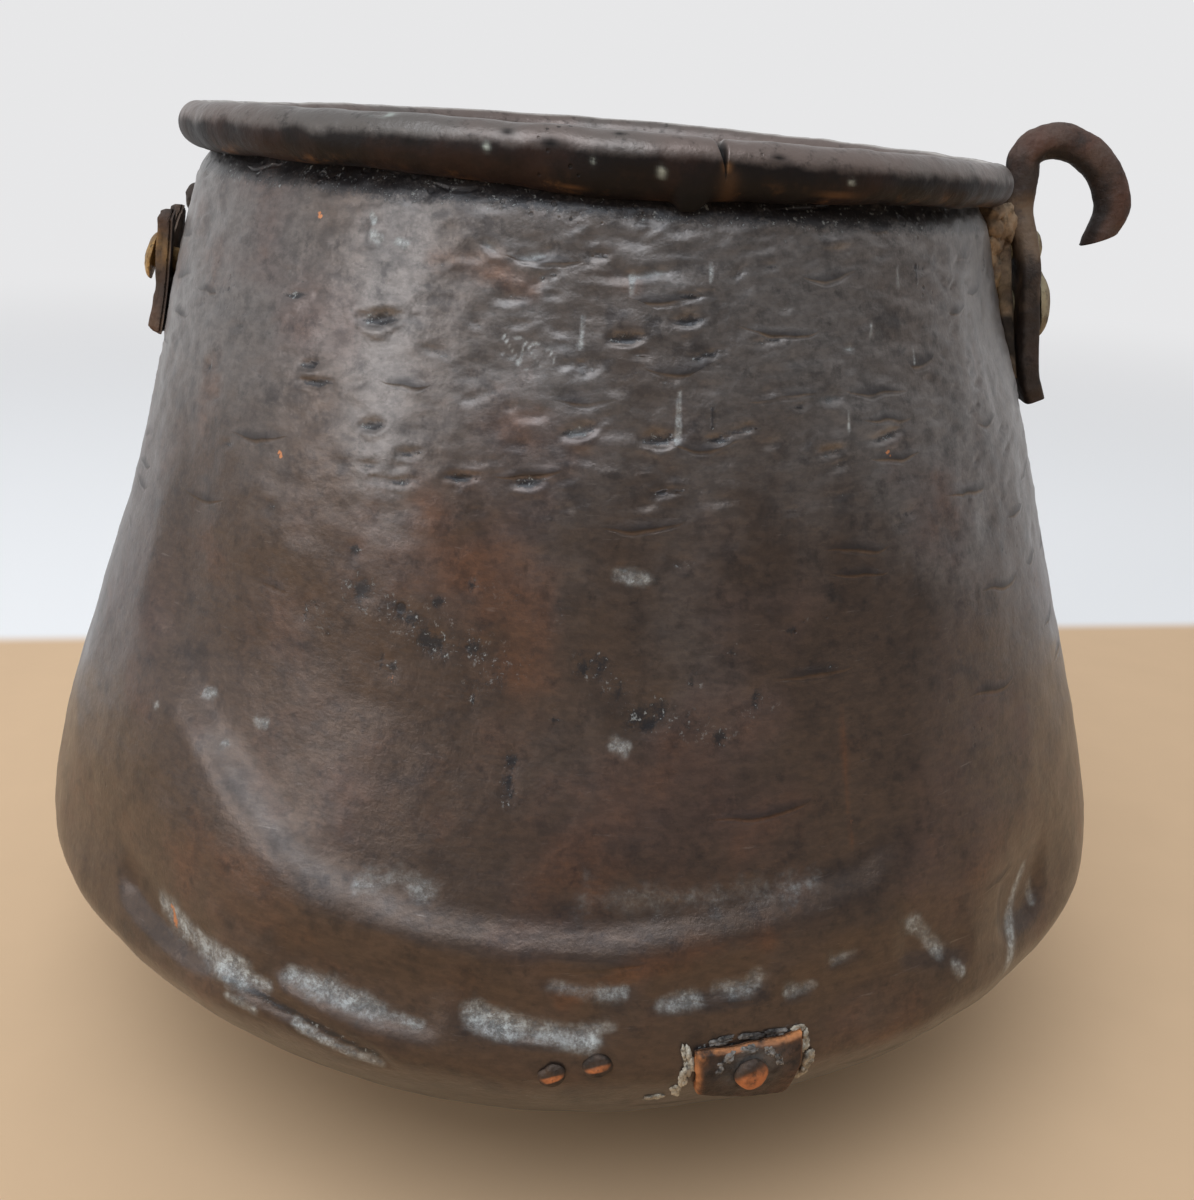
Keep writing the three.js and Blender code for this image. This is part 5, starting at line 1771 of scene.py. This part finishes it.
@dataclass(frozen=True)
class OldMetal(Finish):
    """Two tones of one metal broken up by noise, with dirt in the hollows and a tint for each mask."""

    light: Triple
    dark: Triple
    hollow: Triple
    masks: tuple[tuple[str, Triple, float], ...]
    scale: float
    share: float
    metallic: float
    roughness: float
    relief: float

    def dress(self, sheet: NodeSheet, shader: Node) -> None:
        """Mixes the tones by the cloudy noise, darkens by the fine one, and adds each mask's tint."""
        weather = sheet.group(self.effects.weather, Vector=sheet.place(), Scale=self.scale)
        slow, cloud, blot, grain = weather.outputs
        low = 0.66 - 0.32 * self.share
        lit = sheet.band(sheet.total((cloud, 0.7), (slow, 0.3)), low - 0.08, low + 0.1)
        color = sheet.coats(
            self.dark, (lit, self.light), (sheet.band(blot, 0.5, 0.68, 0.85), self.hollow),
            *((sheet.times(sheet.mask(name), sheet.band(cloud, 0.3, 0.52, strength)), tint)
              for name, tint, strength in self.masks))
        sheet.feed_all(shader, {
            "Base Color": color, "Metallic": self.metallic,
            "Roughness": sheet.total((blot, 0.3), (grain, 0.2), (1.0, self.roughness))})
        depths = ((cloud, 0.5), (blot, 0.3), (grain, 0.07))
        sheet.bump(shader, sheet.total(*((noise, depth * self.relief) for noise, depth in depths)))


@dataclass(frozen=True)
class StudioFloor(Finish):
    """A straight-edged tan mat on a pale floor that fades into the pale background far away."""

    near: Triple = (0.75, 0.52, 0.32)
    far: Triple = (0.95, 0.95, 0.955)
    glow: Triple = (0.80, 0.80, 0.81)
    mat_edge: float = 0.203
    mat_turn: float = 0.14
    edge_blur: float = 0.007
    roughness: float = 0.9
    fade_start: float = 0.55
    fade_end: float = 1.5

    def dress(self, sheet: NodeSheet, shader: Node) -> None:
        """Lays the mat up to its edge, and blends the far floor into a glow for seen rays."""
        place = sheet.place()
        away = sheet.add("VectorMath", {0: place}, operation="LENGTH").outputs["Value"]
        tan = sheet.mix(sheet.noise(place, 40.0, 3.0), self.near, tuple(0.93 * c for c in self.near))
        spot = sheet.add("SeparateXYZ", {0: place}).outputs
        depth = sheet.total((spot[1], 1.0), (spot[0], -self.mat_turn))
        beyond = sheet.band(depth, self.mat_edge - self.edge_blur, self.mat_edge + self.edge_blur)
        color = sheet.mix(beyond, tan, self.far)
        sheet.feed_all(shader, {"Base Color": color, "Roughness": self.roughness})
        glow = sheet.add("Emission", {"Color": self.glow, "Strength": 1.0})
        factor = sheet.times(sheet.band(away, self.fade_start, self.fade_end), seen_rays(sheet))
        blend = sheet.add("MixShader", {0: factor, 1: shader.outputs[0], 2: glow.outputs[0]})
        end = next(n for n in sheet.tree.nodes if n.type == "OUTPUT_MATERIAL")
        sheet.feed(end.inputs["Surface"], blend.outputs[0])


def seen_rays(sheet: NodeSheet) -> Socket:
    """One for rays that look at a thing, mirror it or pass through glass, and 0 for those that light it."""
    path = sheet.add("LightPath").outputs
    seen = sheet.larger(path["Is Camera Ray"], path["Is Glossy Ray"])
    return sheet.larger(seen, path["Is Transmission Ray"])


@dataclass(frozen=True)
class PhotoCamera:
    """The camera fitted to the photo: its place in mm, its three directions and its lens."""

    place: Triple = (0.0, -280.3, 195.6)
    right: Triple = (0.9991, 0.0025, 0.0426)
    up: Triple = (-0.0407, 0.3508, 0.9356)
    forward: Triple = (0.0126, 0.9364, -0.3506)
    focal_pixels: float = 1246.0
    frame_pixels: tuple[int, int] = (1194, 1200)
    sensor: float = 36.0
    nearest: float = 0.01

    def build(self) -> None:
        """Makes the camera and gives it to the scene."""
        camera = bpy.data.cameras.new("camera")
        camera.sensor_width = self.sensor
        camera.lens = self.sensor * self.focal_pixels / max(self.frame_pixels)
        camera.clip_start = self.nearest
        piece = link_object("camera", camera)
        back = [-c for c in self.forward]
        turn = Matrix((self.right, self.up, back)).transposed().to_4x4()
        piece.matrix_world = Matrix.Translation(Vector(self.place) * MM) @ turn
        bpy.context.scene.camera = piece


@dataclass(frozen=True)
class Lamp:
    """A soft rectangular lamp that looks at the pot; place and size are in metres."""

    name: str
    place: Triple
    size: tuple[float, float]
    watts: float
    color: Triple
    aim: Triple = (0.0, 0.0, 0.11)

    def build(self) -> None:
        """Makes the lamp and turns it to the middle of the wall."""
        lamp = bpy.data.lights.new(self.name, "AREA")
        lamp.shape = "RECTANGLE"
        lamp.size, lamp.size_y = self.size
        lamp.energy = self.watts
        lamp.color = self.color
        piece = link_object(self.name, lamp)
        piece.location = self.place
        way = Vector(self.aim) - Vector(self.place)
        piece.rotation_euler = way.to_track_quat("-Z", "Y").to_euler()


@dataclass(frozen=True)
class Studio:
    """Floor with its mat, a sky that is pale behind and above and dim in front, and three soft lamps."""

    lamps: tuple[Lamp, ...] = (
        Lamp("overhead_lamp", (-0.15, -0.62, 1.15), (1.0, 0.7), 8.0, (0.82, 0.91, 1.0)),
        Lamp("window_lamp", (-1.0, -0.72, 0.53), (0.3, 0.6), 3.2, (0.97, 0.98, 1.0)),
        Lamp("right_lamp", (1.25, 0.15, 0.75), (0.6, 0.9), 0.25, (1.0, 0.99, 0.97)),
    )
    half: float = 20.0
    dim: float = 0.16
    bright: float = 0.80
    sky_way: Triple = (-0.28, 0.46, 0.58)
    light_dim: float = 0.14
    light_rise: float = 0.60

    def build(self, floor_finish: Material) -> None:
        """Makes the floor, the sky and the lamps."""
        corners = self.half * np.array([(-1, -1, 0), (1, -1, 0), (1, 1, 0), (-1, 1, 0)], float)
        mesh = bpy.data.meshes.new("studio_floor")
        mesh.from_pydata(corners, [], [(0, 1, 2, 3)])
        floor = link_object("studio_floor", mesh)
        mesh.materials.append(floor_finish)
        self._sky()
        for lamp in self.lamps:
            lamp.build()
        bpy.context.scene.view_settings.view_transform = "Standard"

    def _sky(self) -> None:
        """Strength by direction: a soft step that rises towards the back, the left and above.

        What the camera sees directly is never dimmer than the bright side.
        """
        world = bpy.data.worlds.new("studio_sky")
        bpy.context.scene.world = world
        world.use_nodes = True
        sheet = NodeSheet(world.node_tree)
        background = next(n for n in world.node_tree.nodes if n.type == "BACKGROUND")
        background.inputs["Color"].default_value = (1.0, 1.0, 1.01, 1.0)
        way = sheet.add("TexCoord").outputs["Generated"]
        lean = sheet.add("VectorMath", {0: way, 1: self.sky_way}, operation="DOT_PRODUCT").outputs["Value"]
        pale = sheet.total((sheet.band(lean, -0.25, 0.3), self.bright - self.dim), (1.0, self.dim))
        looked = sheet.times(sheet.add("LightPath").outputs["Is Camera Ray"], self.bright)
        pale = sheet.larger(pale, looked)
        lit = sheet.total((sheet.band(lean, -0.6, 0.8), self.light_rise), (1.0, self.light_dim))
        strength = sheet.add("Mix", {0: seen_rays(sheet), 2: lit, 3: pale}, data_type="FLOAT")
        sheet.feed(background.inputs["Strength"], strength.outputs[0])


def attach(piece: Piece, slot: Slot, finish: Material, *nodes: str) -> None:
    """Dresses a piece, lets it ride on the pot, and hides the solids it stands for."""
    piece.data.materials.append(finish)
    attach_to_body(piece, BODY)
    if nodes:
        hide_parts(*nodes)
    LOG.info("made %s with %d faces", piece.name, len(piece.data.polygons))


METALS = {
    "forged_iron": (
        (0.088, 0.064, 0.052), (0.036, 0.025, 0.021), (0.016, 0.013, 0.012),
        # inner: painted shade on the bow's inner side and in the claw's cut, and a darker tang.
        (("rust", (0.115, 0.050, 0.033), 0.7), ("inner", (0.018, 0.013, 0.011), 0.9),
         ("crust", (0.21, 0.140, 0.090), 0.75)),
        2.0, 0.55, 0.3, 0.45, 1.3),
    "torn_iron": (
        (0.150, 0.105, 0.078), (0.060, 0.042, 0.034), (0.020, 0.015, 0.013),
        (("rust", (0.14, 0.07, 0.04), 0.7), ("gold", (0.55, 0.30, 0.08), 0.95),
         # dark: painted shade in the strap's slot.
         ("dark", (0.008, 0.007, 0.006), 1.0)), 2.0, 0.5, 0.4, 0.42, 1.2),
    "crusted_rivet": (
        (0.36, 0.31, 0.20), (0.17, 0.13, 0.085), (0.05, 0.036, 0.026), (), 2.6, 0.6, 0.1, 0.55, 1.6),
    "ochre_packing": (
        (0.30, 0.205, 0.135), (0.12, 0.080, 0.054), (0.03, 0.021, 0.016),
        (("tone", (0.42, 0.31, 0.17), 0.5), ("dark", (0.018, 0.013, 0.010), 0.95)),
        2.4, 0.5, 0.0, 0.6, 1.6),
    "patch_copper": (
        (0.085, 0.046, 0.031), (0.036, 0.024, 0.019), (0.014, 0.010, 0.009),
        (("edge", (0.62, 0.25, 0.09), 1.0), ("grime", (0.17, 0.16, 0.15), 0.9)), 3.2, 0.45, 0.4, 0.40, 1.1),
    "rubbed_copper": (
        (0.52, 0.20, 0.09), (0.30, 0.11, 0.05), (0.07, 0.03, 0.02), (), 3.0, 0.65, 0.7, 0.26, 0.7),
    "plug_copper": (
        (0.090, 0.060, 0.044), (0.052, 0.036, 0.028), (0.024, 0.018, 0.014),
        (("rub", (0.52, 0.19, 0.075), 1.0),), 3.0, 0.5, 0.5, 0.34, 1.0),
    "dull_brass": (
        (0.48, 0.30, 0.11), (0.22, 0.13, 0.055), (0.05, 0.033, 0.02), (), 2.4, 0.5, 0.6, 0.32, 0.9),
    "old_solder": (
        (0.50, 0.46, 0.38), (0.26, 0.22, 0.17), (0.05, 0.04, 0.03), (), 3.0, 0.6, 0.3, 0.4, 1.2),
    "black_crust": (
        (0.30, 0.28, 0.26), (0.040, 0.034, 0.031), (0.010, 0.009, 0.009), (), 5.0, 0.55, 0.2, 0.5, 1.6),
}
SOLID_METALS = {
    Slot.COPPER: "patch_copper", Slot.BRIGHT: "rubbed_copper", Slot.BRASS: "dull_brass",
    Slot.IRON: "forged_iron", Slot.PACKING: "ochre_packing",
}


def make_finishes() -> dict[str, Material]:
    """Makes every finish of the pot once, and gives them by name."""
    effects = Effects(pitting_group(), peening_group(), weather_group())
    finishes = [
        WallPatina("wall_patina", effects), RimPatina("rim_patina", effects),
        StudioFloor("studio_floor", effects),
        *(OldMetal(name, effects, *row) for name, row in METALS.items())]
    return {finish.name: finish.material() for finish in finishes}


@dataclass
class CopperPot:
    """The whole pot: wall, rim and fittings, built and dressed in order."""

    finishes: dict[str, Material]

    def build(self) -> None:
        """Builds every piece; a row has the piece, its slot, its finish and the solid it stands for."""
        self._solids()
        solder = PatchSolder()
        for piece, slot, finish, *nodes in (
            (HammeredWall().build(), Slot.COPPER, "wall_patina", "pot_body"),
            (RolledRim().build(), Slot.COPPER, "rim_patina", "pot_body"),
            (ForgedHook().build(), Slot.IRON, "forged_iron", "hook_strap"),
            (HookPacking().build(), Slot.PACKING, "ochre_packing", "hook_packing"),
            self._rivet(Slot.IRON, "crusted_rivet", "hook_lower_rivet", "hook_domed_rivet",
                        8.0, 2.8, 3.2, 6.0, 2.0, 0.07, seed=103),
            self._rivet(Slot.IRON, "crusted_rivet", "hook_upper_rivet", "hook_small_rivet",
                        3.2, 1.2, 2.0, 3.4, 1.4, 0.10, seed=105),
            (BrokenStrap().make("torn_strap"), Slot.IRON, "torn_iron", "broken_strap"),
            self._rivet(Slot.BRASS, "dull_brass", "broken_strap_rivet", "strap_brass_rivet",
                        5.0, 1.8, 2.6, 6.0, 2.0, 0.08, seed=107),
            self._rivet(Slot.IRON, "forged_iron", "left_neck_rivet", "neck_iron_rivet",
                        3.0, 1.8, 1.8, 3.4, 1.4, 0.08, seed=109),
            (BellyPatch().make("belly_patch"), Slot.BRIGHT, "patch_copper", "patch_plate"),
            self._rivet(Slot.BRIGHT, "plug_copper", "patch_rivet", "patch_copper_rivet",
                        2.9, 1.5, 1.5, 2.9, 1.2, 0.10, (3.2, 2.6, -0.7), seed=113),
            (solder.build("patch_solder", solder.pale, 131), Slot.BRIGHT, "old_solder"),
            (solder.build("patch_black_crust", solder.black, 151), Slot.COPPER, "black_crust"),
            self._rivet(Slot.BRIGHT, "plug_copper", "plug_rivet_left", "plug_copper_left",
                        2.1, 1.15, 1.2, 2.1, 0.8, 0.25, (1.7, 0.65, 0.1), seed=115),
            self._rivet(Slot.BRIGHT, "plug_copper", "plug_rivet_right", "plug_copper_right",
                        2.1, 1.15, 1.2, 2.1, 0.8, 0.25, (1.7, 0.65, 0.1), seed=117),
        ):
            attach(piece, slot, self.finishes[finish], *nodes)

    @staticmethod
    def _rivet(
        slot: Slot, finish: str, node: str, name: str, *sizes: object, seed: int
    ) -> tuple[Piece, Slot, str, str]:
        """Builds a rivet and gives its row."""
        return Rivet(node, name, *sizes, seed=seed).build(), slot, finish, node

    def _solids(self) -> None:
        """Gives every solid of the frame the finish of its slot."""
        slots = {part["node"]: part["material_slot"] for part in frame["record"]["subparts"]}
        for name, node in frame["nodes"].items():
            node.data.materials.clear()
            node.data.materials.append(self.finishes[SOLID_METALS[Slot(slots[name])]])


def main() -> None:
    """Builds the camera, the studio and the pot in order."""
    finishes = make_finishes()
    PhotoCamera().build()
    Studio().build(finishes["studio_floor"])
    CopperPot(finishes).build()


if __name__ == "__main__":
    logging.basicConfig(level=logging.INFO, format="%(name)s: %(message)s")
    main()
